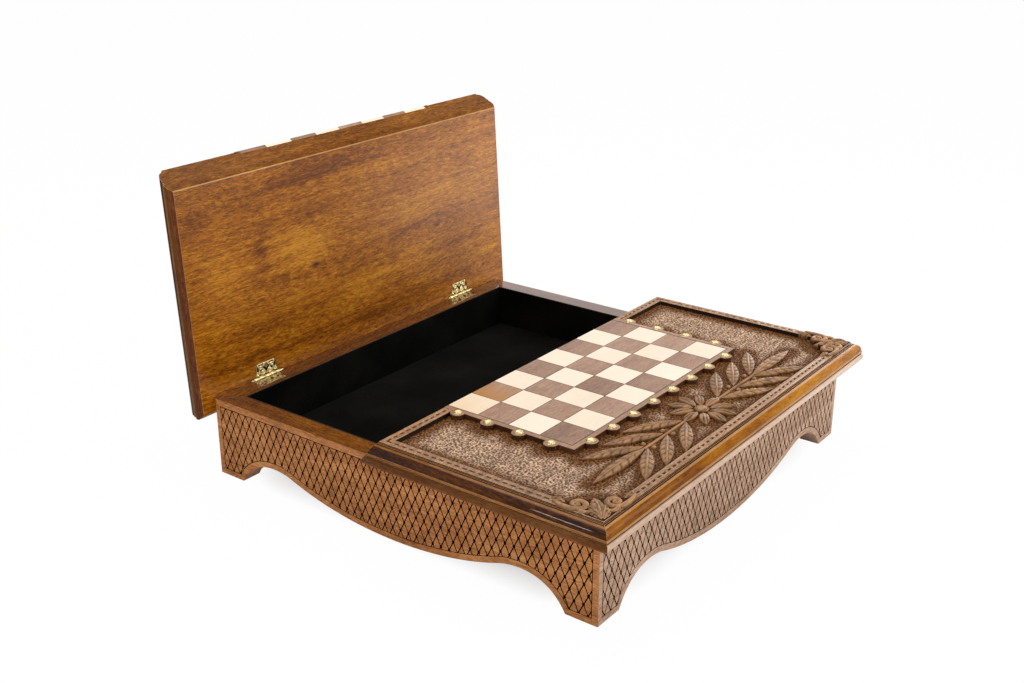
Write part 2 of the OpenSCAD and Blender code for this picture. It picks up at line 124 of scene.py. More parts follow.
BARREL_R = 2.1
BARREL_L = 43.0
BARREL_ROOM = 0.4
BALL_R = 1.6
KNUCKLES = 5
KNUCKLE_GAP = 0.2
PIN_R = 1.0
PLATE_T = 1.2
PLATE_REACH = 17.5
PLATE_WIDE = 36.0
PLATE_NARROW = 28.0
PLATE_INSET = 0.1
MORTISE_ROOM = 0.3
SCREWS = ((0.0, 12.5), (-11.0, 6.5), (11.0, 6.5))
SCREW_HEAD_R = 1.9

RANKS, FILES = 4, 8
FIELD_H = LEAF_H - FIELD_D
BED_H = FIELD_H - 1.2
BOARD_HALF = FILES / 2 * SQUARE
BOARD_REACH = RANKS * SQUARE
PLATE_HALF = BOARD_HALF + STRINGING + PLATE_MARGIN
PLATE_END = BOARD_REACH + STRINGING + PLATE_MARGIN
FIELD_HALF = HALF_L - RIM_W + RIM_OVER
FIELD_REACH = HALF_W - RIM_W + RIM_OVER
INLAY_HALF = BOARD_HALF + STRINGING
INLAY_REACH = BOARD_REACH + STRINGING
STRIP_LOW = BOARD_REACH + STUD_OUT + LOBE_R
STRIP_Y = (STRIP_LOW + FIELD_REACH) / 2
STUDS = ([(side * (BOARD_HALF + STUD_OUT), (rank + 0.5) * SQUARE)
          for side in (-1, 1) for rank in range(RANKS)]
         + [((file + 0.5) * SQUARE - BOARD_HALF, BOARD_REACH + STUD_OUT) for file in range(FILES)])

# ---- Meshes ------------------------------------------------------------------
# A shell is a list of points, one of faces and, on carved pieces, one of cavity values for the points.


def shaded(mesh, sharp=35.0):
    """Smooth shading, but edges sharper than some degrees stay crisp."""
    mesh.polygons.foreach_set("use_smooth", np.ones(len(mesh.polygons), bool))
    mesh.set_sharp_from_angle(angle=math.radians(sharp))


def new_object(name, verts, faces, materials, face_materials=None, sharp=35.0):
    """A mesh object from points in millimetres."""
    mesh = bpy.data.meshes.new(name)
    mesh.from_pydata((np.asarray(verts, float) * MM).tolist(), [], [list(map(int, f)) for f in faces])
    for mat in materials:
        mesh.materials.append(mat)
    if face_materials is not None:
        mesh.polygons.foreach_set("material_index", np.asarray(face_materials, np.int32))
    mesh.update()
    shaded(mesh, sharp)
    obj = bpy.data.objects.new(name, mesh)
    bpy.context.scene.collection.objects.link(obj)
    return obj


def tidy(obj, merge=0.0005):
    """Merges points that meet, drops faces with no area and turns all normals outward."""
    bm = bmesh.new()
    bm.from_mesh(obj.data)
    bmesh.ops.remove_doubles(bm, verts=bm.verts, dist=merge * MM)
    bmesh.ops.dissolve_degenerate(bm, edges=bm.edges, dist=merge * MM)
    bmesh.ops.recalc_face_normals(bm, faces=bm.faces)
    bm.to_mesh(obj.data)
    bm.free()
    shaded(obj.data)
    return obj


def applied(obj, kind, **settings):
    """Gives obj the mesh that a modifier makes of its own."""
    mod = obj.modifiers.new("change", kind)
    for key, value in settings.items():
        setattr(mod, key, value)
    mesh = bpy.data.meshes.new_from_object(obj.evaluated_get(bpy.context.evaluated_depsgraph_get()))
    obj.modifiers.clear()
    old, obj.data = obj.data, mesh
    bpy.data.meshes.remove(old)
    return obj


def boolean(obj, cutter, operation):
    """Cuts obj by another object, which is then gone."""
    applied(obj, "BOOLEAN", operation=operation, solver="EXACT", object=cutter, material_mode="TRANSFER")
    bpy.data.objects.remove(cutter)
    shaded(obj.data)
    return obj


def bevelled(obj, width, angle=30.0, sort=-1):
    """Rounds the edges of obj that are sharper than an angle; the new faces may get a sort of their own."""
    return applied(obj, "BEVEL", width=width * MM, material=sort, segments=2, limit_method="ANGLE",
                   angle_limit=math.radians(angle), use_clamp_overlap=True)


def eased(obj, on_edge, width, sort):
    """Rounds the edges whose two ends pass a test, and gives the new faces a sort."""
    bm = bmesh.new()
    bm.from_mesh(obj.data)
    edges = [edge for edge in bm.edges if all(on_edge(vert.co / MM) for vert in edge.verts)]
    bmesh.ops.bevel(bm, geom=edges, offset=width * MM, segments=2, profile=0.5, affect="EDGES", material=sort)
    bm.to_mesh(obj.data)
    bm.free()


def mark(obj, name, values):
    """Stores a value for each point, for a material to read."""
    data = obj.data.attributes.new(name, "FLOAT", "POINT")
    data.data.foreach_set("value", np.asarray(values, np.float32))


def settle(obj, place):
    """Moves a mesh to its place; its grain attribute keeps where each point was before, for materials."""
    mesh = obj.data
    points = np.empty(3 * len(mesh.vertices), np.float32)
    mesh.vertices.foreach_get("co", points)
    mesh.attributes.new("grain", "FLOAT_VECTOR", "POINT").data.foreach_set("vector", points)
    mesh.transform(place)
    mesh.update()


def slab(x, y, top, bottom):
    """A closed slab over a grid, with the heights top above a flat bottom."""
    rows, cols = top.shape
    upper = np.stack([x, y, top], -1).reshape(-1, 3)
    index = np.arange(rows * cols).reshape(rows, cols)
    quads = np.stack([index[:-1, :-1], index[:-1, 1:], index[1:, 1:], index[1:, :-1]], -1).reshape(-1, 4)
    loop = np.concatenate([index[0, :-1], index[:-1, -1], index[-1, :0:-1], index[:0:-1, 0]])
    rim = upper[loop].copy()
    rim[:, 2] = bottom
    low = rows * cols + np.arange(len(loop))
    sides = np.stack([low, np.roll(low, -1), np.roll(loop, -1), loop], -1)
    return np.concatenate([upper, rim]), list(quads) + list(sides) + [low[::-1]]


def joined(parts):
    """One shell, with cavity values, from several."""
    verts, faces, cavity, count = [], [], [], 0
    for part_verts, part_faces, *rest in parts:
        verts.append(np.asarray(part_verts, float))
        faces += [[int(i) + count for i in face] for face in part_faces]
        cavity.append(np.asarray(rest[0], float) if rest else np.zeros(len(part_verts)))
        count += len(part_verts)
    return np.concatenate(verts), faces, np.concatenate(cavity)


def reversed_faces(faces):
    return [list(face)[::-1] for face in faces]


def moved(part, x=0.0, y=0.0, z=0.0, turn=0.0, flip=False):
    """A shell turned by some degrees about z and moved, then mirrored in x if flip is set."""
    verts, faces, *rest = part
    verts = np.array(verts, float)
    c, s = math.cos(math.radians(turn)), math.sin(math.radians(turn))
    verts[:, :2] = verts[:, :2] @ np.array([[c, s], [-s, c]])
    verts += (x, y, z)
    if flip:
        verts[:, 0] *= -1
        faces = reversed_faces(faces)
    return (verts, faces, *rest)


def tube(rings, count, closed=True):
    """Quads between rings of count points each, whose points follow one another in a list."""
    return [[ring * count + i, ring * count + (i + 1) % count,
             (ring + 1) * count + (i + 1) % count, (ring + 1) * count + i]
            for ring in range(rings - 1) for i in range(count if closed else count - 1)]


def loft(rings):
    """A closed shell through rings with as many points each, counter-clockwise and lowest first."""
    count = len(rings[0])
    last = (len(rings) - 1) * count
    ends = [list(range(count))[::-1], [last + i for i in range(count)]]
    return np.concatenate([np.asarray(ring, float) for ring in rings]), tube(len(rings), count) + ends


def prism(outline, low, high):
    """A closed prism over a counter-clockwise outline."""
    flat = np.asarray(outline, float)
    return loft([np.c_[flat, np.full(len(flat), height)] for height in (low, high)])


def lathe(profile, steps, flutes=0, fluting=None):
    """A closed solid of revolution about z from (radius, height) points, lowest first.

    Each ring of points rises and falls by its fluting over a number of flutes."""
    turns = np.linspace(0, 2 * math.pi, steps, endpoint=False)
    rings = []
    for ring, (r, z) in enumerate(profile):
        wave = fluting[ring] * np.cos(flutes * turns) if flutes else 0.0
        rings.append(np.c_[r * np.cos(turns), r * np.sin(turns), np.full(steps, z) + wave])
    return loft(rings)


def along_x(part):
    """A shell turned so that its z axis lies along x."""
    verts, faces = part
    return np.c_[verts[:, 2], verts[:, 0], verts[:, 1]], faces


def arc(cx, cz, radius, start, end, steps):
    angles = np.radians(np.linspace(start, end, steps + 1))
    return [(cx + radius * math.cos(a), cz + radius * math.sin(a)) for a in angles]


def bezier(a, b, c, d, steps=14):
    t = np.linspace(0, 1, steps + 1)[:, None]
    a, b, c, d = (np.array(p, float) for p in (a, b, c, d))
    return (1 - t) ** 3 * a + 3 * t * (1 - t) ** 2 * b + 3 * t * t * (1 - t) * c + t ** 3 * d


def spiral(cx, cy, radius, start, turns, shrink, steps):
    """Points of a curl from an angle in degrees on, which loses a share of its radius on the way."""
    t = np.linspace(0, 1, steps)
    angle = math.radians(start) + t * turns * 2 * math.pi
    reach = radius * (1 - shrink * t)
    return np.c_[cx + reach * np.cos(angle), cy + reach * np.sin(angle)]


def smooth_step(value, low, high):
    t = np.clip((value - low) / (high - low), 0, 1)
    return t * t * (3 - 2 * t)


# ---- Materials ---------------------------------------------------------------


def srgb(colour, share=1.0):
    """A colour from 0-255 display values, as a share of its linear light."""
    def linear(value):
        value /= 255
        return value / 12.92 if value <= 0.04045 else ((value + 0.055) / 1.055) ** 2.4
    return tuple(share * linear(value) for value in colour) + (1.0,)


class Shader:
    """A material under construction, with short calls for the nodes it needs.

    Settled pieces carry a grain attribute; CAD nodes and others are textured where they lie."""

    def __init__(self, name, settled=True, **sockets):
        self.settled = settled
        self.material = bpy.data.materials.new(name)
        self.material.use_nodes = True
        self.tree = self.material.node_tree
        self.surface = self.tree.nodes["Principled BSDF"]
        for socket, value in sockets.items():
            self.surface.inputs[socket.replace("_", " ")].default_value = value

    def node(self, kind, settings=None, **inputs):
        made = self.tree.nodes.new(kind)
        for key, value in (settings or {}).items():
            setattr(made, key, value)
        for key, value in inputs.items():
            place = int(key[1:]) if key[0] == "i" and key[1:].isdigit() else key.replace("_", " ")
            self.feed(made.inputs[place], value)
        return made

    def feed(self, socket, value):
        if isinstance(value, bpy.types.NodeSocket):
            self.tree.links.new(value, socket)
        else:
            socket.default_value = value

    def math(self, operation, a, b=0.0, c=0.0):
        return self.node("ShaderNodeMath", {"operation": operation}, i0=a, i1=b, i2=c).outputs[0]

    def coordinates(self, scale, turn=(0, 0, 0), warp=None):
        if self.settled:
            place = self.node("ShaderNodeAttribute", {"attribute_name": "grain"}).outputs["Vector"]
        else:
            place = self.node("ShaderNodeTexCoord").outputs["Object"]
        if warp is not None:
            place = self.vector("ADD", place, warp)
        turned = self.node("ShaderNodeMapping", Vector=place, Rotation=turn).outputs[0]
        return self.node("ShaderNodeMapping", Vector=turned, Scale=scale).outputs[0]

    def noise(self, where, detail, roughness=0.5):
        return self.node("ShaderNodeTexNoise", Vector=where, Scale=1.0, Detail=detail,
                         Roughness=roughness).outputs

    def ramp(self, value, stops):
        made = self.node("ShaderNodeValToRGB", Fac=value)
        band, stops = made.color_ramp, list(stops)
        while len(band.elements) < len(stops):
            band.elements.new(1.0)
        for element, (place, colour) in zip(band.elements, stops):
            element.position, element.color = place, colour
        return made.outputs["Color"]

    def mix(self, factor, a, b):
        made = self.node("ShaderNodeMix", {"data_type": "RGBA"}, i0=factor)
        self.feed(made.inputs[6], a)
        self.feed(made.inputs[7], b)
        return made.outputs[2]

    def vector(self, operation, a, b=(0, 0, 0)):
        return self.node("ShaderNodeVectorMath", {"operation": operation}, i0=a, i1=b).outputs[0]

    def scaled(self, a, scale):
        return self.node("ShaderNodeVectorMath", {"operation": "SCALE"}, i0=a, Scale=scale).outputs[0]

    def length(self, a):
        return self.node("ShaderNodeVectorMath", {"operation": "LENGTH"}, i0=a).outputs["Value"]

    def between(self, value, low, high, start=0.0, end=1.0):
        """Low to high as a value goes from start to end."""
        return self.node("ShaderNodeMapRange", Value=value, From_Min=start, From_Max=end, To_Min=low,
                         To_Max=high).outputs[0]

    def centred(self, colour):
        return self.vector("SUBTRACT", colour, (0.5, 0.5, 0.5))

    def weighed(self, middle, *parts):
        """A middle value with several noises around 0.5 added to it by weight."""
        total = middle
        for value, weight in parts:
            total = self.math("MULTIPLY_ADD", self.math("SUBTRACT", value, 0.5), weight, total)
        return total

    def attribute(self, name):
        return self.node("ShaderNodeAttribute", {"attribute_name": name}).outputs["Fac"]

    def bump(self, height, distance, strength, normal=None):
        made = self.node("ShaderNodeBump", Height=height, Distance=distance, Strength=strength)
        if normal is not None:
            self.feed(made.inputs["Normal"], normal)
        return made.outputs[0]

    def finish(self, colour=None, roughness=None, normal=None):
        for socket, value in (("Base Color", colour), ("Roughness", roughness), ("Normal", normal)):
            if value is not None:
                self.feed(self.surface.inputs[socket], value)
        return self.material


FIGURE_STOPS = (0.30, 0.50, 0.70)   # where a wood is its dark, its middle and its light colour
RING_LINES = 9                      # growth lines over the range of the contour noise
PORE_SHADE = 0.35                   # share of the dark colour that is left in pores and knots
KNOT_SHAPE = 0.42                   # width of a knot over its length
KNOT_PULL = 0.7                     # how strongly it bends the grain
KNOT_CORE = 0.11                    # size of its dark core over its reach


def wood(name, dark, middle, light, along_y=False, roughness=0.33, coat=0.2, gloss=0.15, coat_ior=1.5,
         specular=0.15, figure=1.0, grain=1.0, rings=0.2, knots=(), zones=(), tone=None, tones=0.2, warm=None,
         settled=True):
    """Lacquered wood with its grain along x: broad figure, streaks, crinkled fibres and short pores.

    A tone attribute shifts the grain and the shade from one inlaid piece to the next, and a warm
    attribute mixes in the warm colour. Zones are softly lighter or darker places of the figure."""
    made = Shader(name, settled, Coat_Weight=coat, Coat_Roughness=gloss, Coat_IOR=coat_ior,
                  Specular_IOR_Level=specular)
    turn = (0, 0, math.radians(90)) if along_y else (0, 0, 0)
    shift = None

    def grainy(along, across, detail=2.0, rough=0.5, output="Fac", still=False):
        """Noise with some waves a metre along the grain, and some across it."""
        where = made.coordinates((along, across, across), turn, None if still else shift)
        return made.noise(where, detail, rough)[output]

    waver = made.centred(grainy(3.0, 9, output="Color"))
    crinkle = made.centred(grainy(70, 90, output="Color"))
    shift = made.vector("ADD", made.scaled(waver, 0.03 * figure), made.scaled(crinkle, 0.004))
    if tone:
        tone = made.attribute(tone)
        apart = made.node("ShaderNodeCombineXYZ", X=made.math("MULTIPLY", tone, 1.7),
                          Y=made.math("MULTIPLY", tone, 0.9), Z=tone).outputs[0]
        shift = made.vector("ADD", shift, apart)
    core = None
    for knot in knots:
        shift, core = knotted(made, shift, core, *knot)
    streaks, flecks = grainy(4.5, 130, 4.0, 0.6), grainy(80, 420, 3.0, 0.6)
    fibres = grainy(170, 1000, 2.0, 0.6)
    value = made.weighed(0.5, (grainy(1.0, 14), 0.4 * figure), (streaks, 0.35 * grain), (flecks, 0.5 * grain),
                         (fibres, 0.5 * grain), (grainy(14, 18, 3.0, 0.6, still=True), 0.3 * figure))
    wave = made.math("SINE", made.math("MULTIPLY", grainy(0.8, 9, 2.0, 0.4), 2 * math.pi * RING_LINES))
    line = made.math("POWER", made.math("MULTIPLY_ADD", wave, 0.5, 0.5), 12.0)
    value = made.math("MULTIPLY_ADD", line, -0.2 * rings, value)
    if tone:
        value = made.math("MULTIPLY_ADD", made.math("SUBTRACT", tone, 0.5), tones, value)
    for x, y, along, across, shade in zones:
        away = made.vector("SUBTRACT", made.coordinates((1 / along, 1 / across, 0)),
                           (x / along, y / across, 0))
        value = made.math("MULTIPLY_ADD", bell(made, away, 1.0), shade, value)
    colour = made.ramp(value, zip(FIGURE_STOPS, (srgb(dark), srgb(middle), srgb(light))))
    pitted = made.between(grainy(60, 900), 0.0, 0.55 * grain, 0.58, 0.70)
    for dark_place in (pitted, core):
        if dark_place is not None:
            colour = made.mix(dark_place, colour, srgb(dark, PORE_SHADE))
    if warm:
        colour = made.mix(made.attribute("warm"), colour, srgb(warm))
    rough = made.between(flecks, roughness - 0.08, roughness + 0.12)
    return made.finish(colour, rough, made.bump(streaks, 0.0003 * grain, 0.3,
                                                made.bump(fibres, 0.0002 * grain, 0.5)))


def bell(made, away, radius):
    """A smooth hill, 1 where the vector away is nil and falling off over a radius."""
    share = made.math("DIVIDE", made.length(away), radius)
    return made.math("EXPONENT", made.math("MULTIPLY", made.math("MULTIPLY", share, share), -1.0))


def knotted(made, shift, core, x, y, reach):
    """Spreads the grain around a knot, drawn out along it, and darkens the knot's core."""
    away = made.vector("SUBTRACT", made.coordinates((1, 1, 0)), (x, y, 0))
    flat = made.vector("MULTIPLY", away, (KNOT_SHAPE, 1, 0))
    pull = made.scaled(away, made.math("MULTIPLY", bell(made, flat, reach), -KNOT_PULL))
    spread = made.vector("MULTIPLY", pull, (0.25, 1, 0))
    dark = bell(made, flat, KNOT_CORE * reach)
    return made.vector("ADD", shift, spread), dark if core is None else made.math("MAXIMUM", core, dark)


# (x, y, reach) of knots and (x, y, reach along, reach across, shade) of the figure's zones, in metres
KNOTS = ((-0.0837, 0.149, 0.030), (0.1405, 0.1535, 0.018), (0.2525, 0.0272, 0.012), (0.2325, 0.2315, 0.014),
         (0.12, -0.11, 0.02))
ZONES = ((-0.105, 0.124, 0.050, 0.026, 0.17), (-0.165, 0.112, 0.012, 0.020, -0.17),
         (-0.05, 0.03, 0.09, 0.012, -0.12), (-0.095, 0.044, 0.05, 0.004, -0.14),
         (-0.223, 0.131, 0.03, 0.025, 0.10), (-0.257, 0.057, 0.02, 0.02, -0.14),
         (-0.02, 0.24, 0.20, 0.02, -0.10), (0.02, 0.19, 0.10, 0.02, 0.08))

# Each wood: its dark, middle and light colours, and what sets it apart
UNDERSIDE_WOOD = wood("walnut_underside", (98, 48, 0), (152, 88, 4), (194, 130, 30), roughness=0.4, coat=0.22,
                      gloss=0.28, specular=0.1, knots=KNOTS, zones=ZONES, figure=0.85, grain=1.15, rings=0.3)
# The moulding's walnut along the front, and a much darker copy of it along the sides: painted shade on the
# sides
FRONT_EDGE_WOOD = wood("walnut_moulding", (78, 38, 0), (140, 80, 0), (186, 122, 16), roughness=0.3, coat=0.1,
                       gloss=0.08, specular=0.03, grain=0.5, figure=2.0)
SHADED_SIDE_EDGE_WOOD = wood("walnut_side_moulding", (18, 4, 0), (48, 19, 0), (100, 52, 6), along_y=True,
                      roughness=0.3, coat=0.28, gloss=0.04, specular=0.0, grain=0.7)
# Paler walnut on the roll's crest and on the bead, along the front and the sides: a painted highlight
FRONT_HIGHLIGHT_WOOD = wood("walnut_crest_painted_highlight", (122, 80, 34), (166, 120, 70), (194, 150, 98), coat=0.15, grain=0.5)
SIDE_HIGHLIGHT_WOOD = wood("walnut_side_crest", (80, 42, 10), (128, 78, 32), (166, 114, 62), along_y=True,
                       coat=0.08, specular=0.05, grain=0.5)
# Near-black walnut in the valley under the rim and in the quirk: painted shade
SHADED_VALLEY_WOOD = wood("walnut_valley_painted_shade", (30, 12, 0), (58, 29, 6), (96, 54, 18), coat=0.0, specular=0.04,
                   grain=0.5)
# Pale walnut on the faces of rounded edges: a painted highlight
EDGE_HIGHLIGHT_WOOD = wood("walnut_edge_painted_highlight", (150, 104, 56), (178, 130, 78), (204, 160, 108), coat=0.3, grain=0.5)
# A darker copy of the underside's walnut on the split faces, which face upward: painted shade against the
# light from above
SHADED_SPLIT_WOOD = wood("walnut_split_painted_shade", (70, 32, 0), (122, 70, 8), (162, 106, 34), roughness=0.4, coat=0.08,
                  gloss=0.25, specular=0.03)
# The fillet's walnut, pale along the front and dark along the sides, the same wood lit and shaded: painted
# light and painted shade
LIT_FRONT_FILLET_WOOD = wood("walnut_fillet_painted_light", (178, 144, 116), (208, 176, 152), (230, 202, 178), roughness=0.35,
                         coat=0.15, specular=0.1, grain=0.5)
SHADED_SIDE_FILLET_WOOD = wood("walnut_side_fillet_painted_shade", (52, 24, 4), (90, 52, 20), (122, 80, 42), along_y=True,
                        roughness=0.35, coat=0.04, specular=0.03, grain=0.5)
SLOPE_WOOD = wood("walnut_slope", (56, 20, 4), (96, 46, 12), (130, 72, 26), along_y=True, roughness=0.3,
                  coat=0.15, specular=0.1)
RAIL_WOOD = wood("walnut_rail", (52, 22, 0), (104, 54, 0), (146, 86, 8), roughness=0.32, coat=1.0, gloss=0.06,
                 coat_ior=1.8, specular=0.03)
# The front panel's walnut is a lighter, pinker copy of the other panels': painted light on the front
LIT_FRONT_PANEL_WOOD = wood("walnut_front_panel_painted_light", (138, 104, 82), (184, 148, 122), (212, 178, 154), roughness=0.5,
                        coat=0.0, specular=0.08, grain=0.9)
PANEL_WOOD = wood("walnut_panel", (118, 70, 34), (174, 114, 66), (204, 146, 94), roughness=0.5, coat=0.0,
                  specular=0.08, grain=0.9)
RIM_WOOD = wood("walnut_rim", (100, 64, 34), (152, 112, 78), (192, 154, 118), coat=0.3, grain=0.9)
PLATE_WOOD = wood("walnut_plate", (122, 84, 60), (152, 112, 84), (180, 142, 112), coat=0.25, grain=0.7)
PLATE_SIDE_WOOD = wood("walnut_plate_side", (40, 21, 9), (70, 42, 22), (100, 66, 40), roughness=0.35,
                       coat=0.3)
MAPLE = wood("maple", (222, 200, 172), (236, 218, 196), (245, 230, 210), roughness=0.34, grain=0.15,
             figure=0.6, rings=0.1, tone="tone", tones=0.08, warm=(222, 186, 124))
SQUARE_WOOD = wood("walnut_square", (112, 78, 58), (150, 114, 90), (178, 142, 116), roughness=0.34, coat=0.25,
                   grain=0.7, tone="tone", tones=0.14, warm=(168, 112, 42))
PLYWOOD = wood("plywood", (150, 112, 72), (178, 138, 94), (200, 164, 120), roughness=0.6, coat=0.0,
               settled=False)


def plain(name, colour, roughness, settled=True, **sockets):
    """A dyed or painted surface with faint unevenness."""
    made = Shader(name, settled, **sockets)
    cloud = made.noise(made.coordinates((120, 120, 120)), 3.0)["Fac"]
    return made.finish(made.ramp(cloud, [(0.3, srgb(colour)), (0.8, srgb(colour, 1.5))]), roughness)


GROOVE_BLACK = plain("burnt_groove", (6, 3, 2), 0.8, Specular_IOR_Level=0.05)
GROOVE_BROWN = plain("groove_wall", (20, 9, 4), 0.7, Specular_IOR_Level=0.05)
STRINGING_BLACK = plain("dyed_stringing", (44, 28, 18), 0.4, settled=False)
# Near-black walls and floor of the rim's channel: painted shade in the channel
SLOT_SHADE_BROWN = plain("slot", (24, 12, 6), 0.6, Specular_IOR_Level=0.1)
GLUE_DARK = plain("glue_line", (52, 38, 28), 0.6, Specular_IOR_Level=0.1)
# A near-black bed under the corner carvings: painted shade between the scrolls
SHADE_BED = plain("carving_bed_painted_shade", (42, 21, 8), 0.6, Specular_IOR_Level=0.05)
STEEL = plain("zinc_steel", (150, 150, 146), 0.4, settled=False, Metallic=1.0)


def shaded_carving(name, ridge, hollow, halo, coat, mottled, specular):
    """Carved wood: one attribute marks painted shade on the ground near what stands on it, and the cavity
    attribute painted shade in hollows.
    """
    made = Shader(name, Coat_Weight=coat, Coat_Roughness=0.15, Specular_IOR_Level=specular)
    mottle = made.noise(made.coordinates((45, 90, 90)), 4.0, 0.6)["Fac"]
    fibres = made.noise(made.coordinates((30, 400, 400)), 3.0, 0.6)["Fac"]
    value = made.weighed(0.5, (mottle, mottled), (fibres, 0.8))
    colour = made.ramp(value, [(0.3, srgb(ridge, 0.6)), (0.55, srgb(ridge)), (0.8, srgb(ridge, 1.3))])
    # Painted shade on the ground near the rim, the plate and the carvings
    colour = made.mix(made.math("MULTIPLY", made.attribute("halo"), 0.92), colour, srgb(halo))
    # Painted shade in the hollows, pits and low parts of the carved wood
    colour = made.mix(made.attribute("cavity"), colour, srgb(hollow))
    return made.finish(colour, 0.3, made.bump(fibres, 0.0003, 0.4))


GROUND_WOOD = shaded_carving("punched_ground", (212, 174, 142), (24, 9, 1), (116, 66, 6), 0.03, 0.9, 0.04)
CARVED_WOOD = shaded_carving("carved_walnut", (160, 116, 74), (24, 10, 2), (96, 58, 22), 0.25, 1.3, 0.06)


def brass(name, settled=True):
    made = Shader(name, settled, Metallic=1.0)
    spots = made.noise(made.coordinates((320, 320, 320)), 3.0)["Fac"]
    colour = made.ramp(spots, [(0.3, srgb((170, 150, 100))), (0.65, srgb((226, 208, 156)))])
    colour = made.mix(made.attribute("cavity"), colour, srgb((46, 33, 17)))
    return made.finish(colour, made.between(spots, 0.22, 0.42))


def felt():
    """Black felt, greyer where its edge attribute marks the top edge of a standing piece: a painted
    highlight.
    """
    made = Shader("black_felt", False, Roughness=0.95, Sheen_Weight=0.02, Sheen_Roughness=0.5,
                  Specular_IOR_Level=0.02)
    nap = made.noise(made.coordinates((700, 700, 700)), 3.0)["Fac"]
    patches = made.noise(made.coordinates((14, 14, 14)), 4.0)["Fac"]
    colour = made.ramp(made.weighed(0.5, (nap, 1.2), (patches, 1.0)),
                       [(0.35, srgb((0, 0, 0))), (0.8, srgb((19, 18, 13)))])
    colour = made.mix(made.attribute("edge"), colour, srgb((44, 46, 42)))
    return made.finish(colour, None, made.bump(nap, 0.0005, 0.6))


BRASS = brass("antique_brass")
SCREW_BRASS = brass("brass_screw", settled=False)
BLACK_FELT = felt()

# ---- Leaves ------------------------------------------------------------------
# A leaf is drawn closed, with x along the split, y outward from it and z from its underside.


class Leaf:
    """Where a leaf lies at rest, and which way its split slants."""

    def __init__(self, name, body, side, run):
        self.name, self.body, self.side, self.run = name, body, side, run
        self.place = Matrix.Translation((0, BASE_Y * MM, LID_Z * MM))
        if side > 0:
            self.place = OPENED @ self.place

    def split(self, height):
        """Distance of the slanted split from the middle, at a height in the leaf."""
        return SPLIT_GAP / 2 + self.run * (1 - height / LEAF_H)

    def add(self, name, shells, material, replaces=None, slot="carved_walnut", sharp=35.0):
        """A piece from shells, in the leaf's own place and in place of one of its CAD nodes, if any."""
        verts, faces, cavity = joined(shells)
        verts = verts * np.array([1, self.side, 1])
        if self.side < 0:
            faces = reversed_faces(faces)
        obj = new_object(self.name + "_" + name, verts, faces, [material], sharp=sharp)
        mark(obj, "cavity", cavity)
        return self.put(obj, replaces, slot)

    def put(self, obj, replaces, slot):
        settle(obj, self.place)
        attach(obj, self.body)
        if replaces:
            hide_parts(self.name + "_" + replaces)
        return obj


front = Leaf("front", "front_lid", -1, -SPLIT_RUN)
rear = Leaf("rear", "rear_lid", 1, SPLIT_RUN)

# Sorts of the leaf's faces: the side sorts are painted shade and the front fillet painted light, copies of
# one walnut; the crests are a painted highlight, the valley and the split painted shade, and the faces of
# rounded edges a painted highlight
(FRONT_EDGE, SIDE_EDGE, FRONT_FILLET, SIDE_FILLET, FRONT_CREST, SIDE_CREST, VALLEY, SLOPE, RIM, SLOT,
 UNDERSIDE, EDGE_HIGHLIGHT, SPLIT) = range(13)
LEAF_FINISHES = [FRONT_EDGE_WOOD, SHADED_SIDE_EDGE_WOOD, LIT_FRONT_FILLET_WOOD, SHADED_SIDE_FILLET_WOOD, FRONT_HIGHLIGHT_WOOD,
                 SIDE_HIGHLIGHT_WOOD, SHADED_VALLEY_WOOD, SLOPE_WOOD, RIM_WOOD, SLOT_SHADE_BROWN, UNDERSIDE_WOOD, EDGE_HIGHLIGHT_WOOD,
                 SHADED_SPLIT_WOOD]
EDGE_ROUND = 0.5     # rounding of the leaf's plain edges, whose rounded faces get a painted highlight
EDGE_PICK = 0.01     # how near to the line of the rounded split edge its points lie
SPLIT_ROUND = 0.9    # rounding along the split, at the underside
RIM_EDGE = 0.6       # drop of the rim's beads at their edges
FILLET_W = 4.4       # width of each of the rim's two beads
FILLET_ROUND = 1.5   # rounding of the moulding's lowest band
ROLL_R = 8.6         # the moulding's big roll
ROLL_UP = 0.8        # its centre lies this far above the bead
CREST = 56           # from this angle on, the roll's crest gets a painted highlight colour
ROLL_END = 80
VALLEY_D = 2.3       # depth of the valley between the roll and the rim, under the rim
CHANNEL_D = 1.5      # depth of the channel between the rim's beads
DASH_PITCH = 9.5     # the channel is divided into dashes by short bars
BRIDGE_L = 4.0       # length of a bar
CORNER_CLEAR = 46.0  # the bars stop this far from an outer corner of the rim
SPLIT_CLEAR = 8.0    # this far from its corner at the split
PLATE_CLEAR = 2.0    # and this far from the board plate


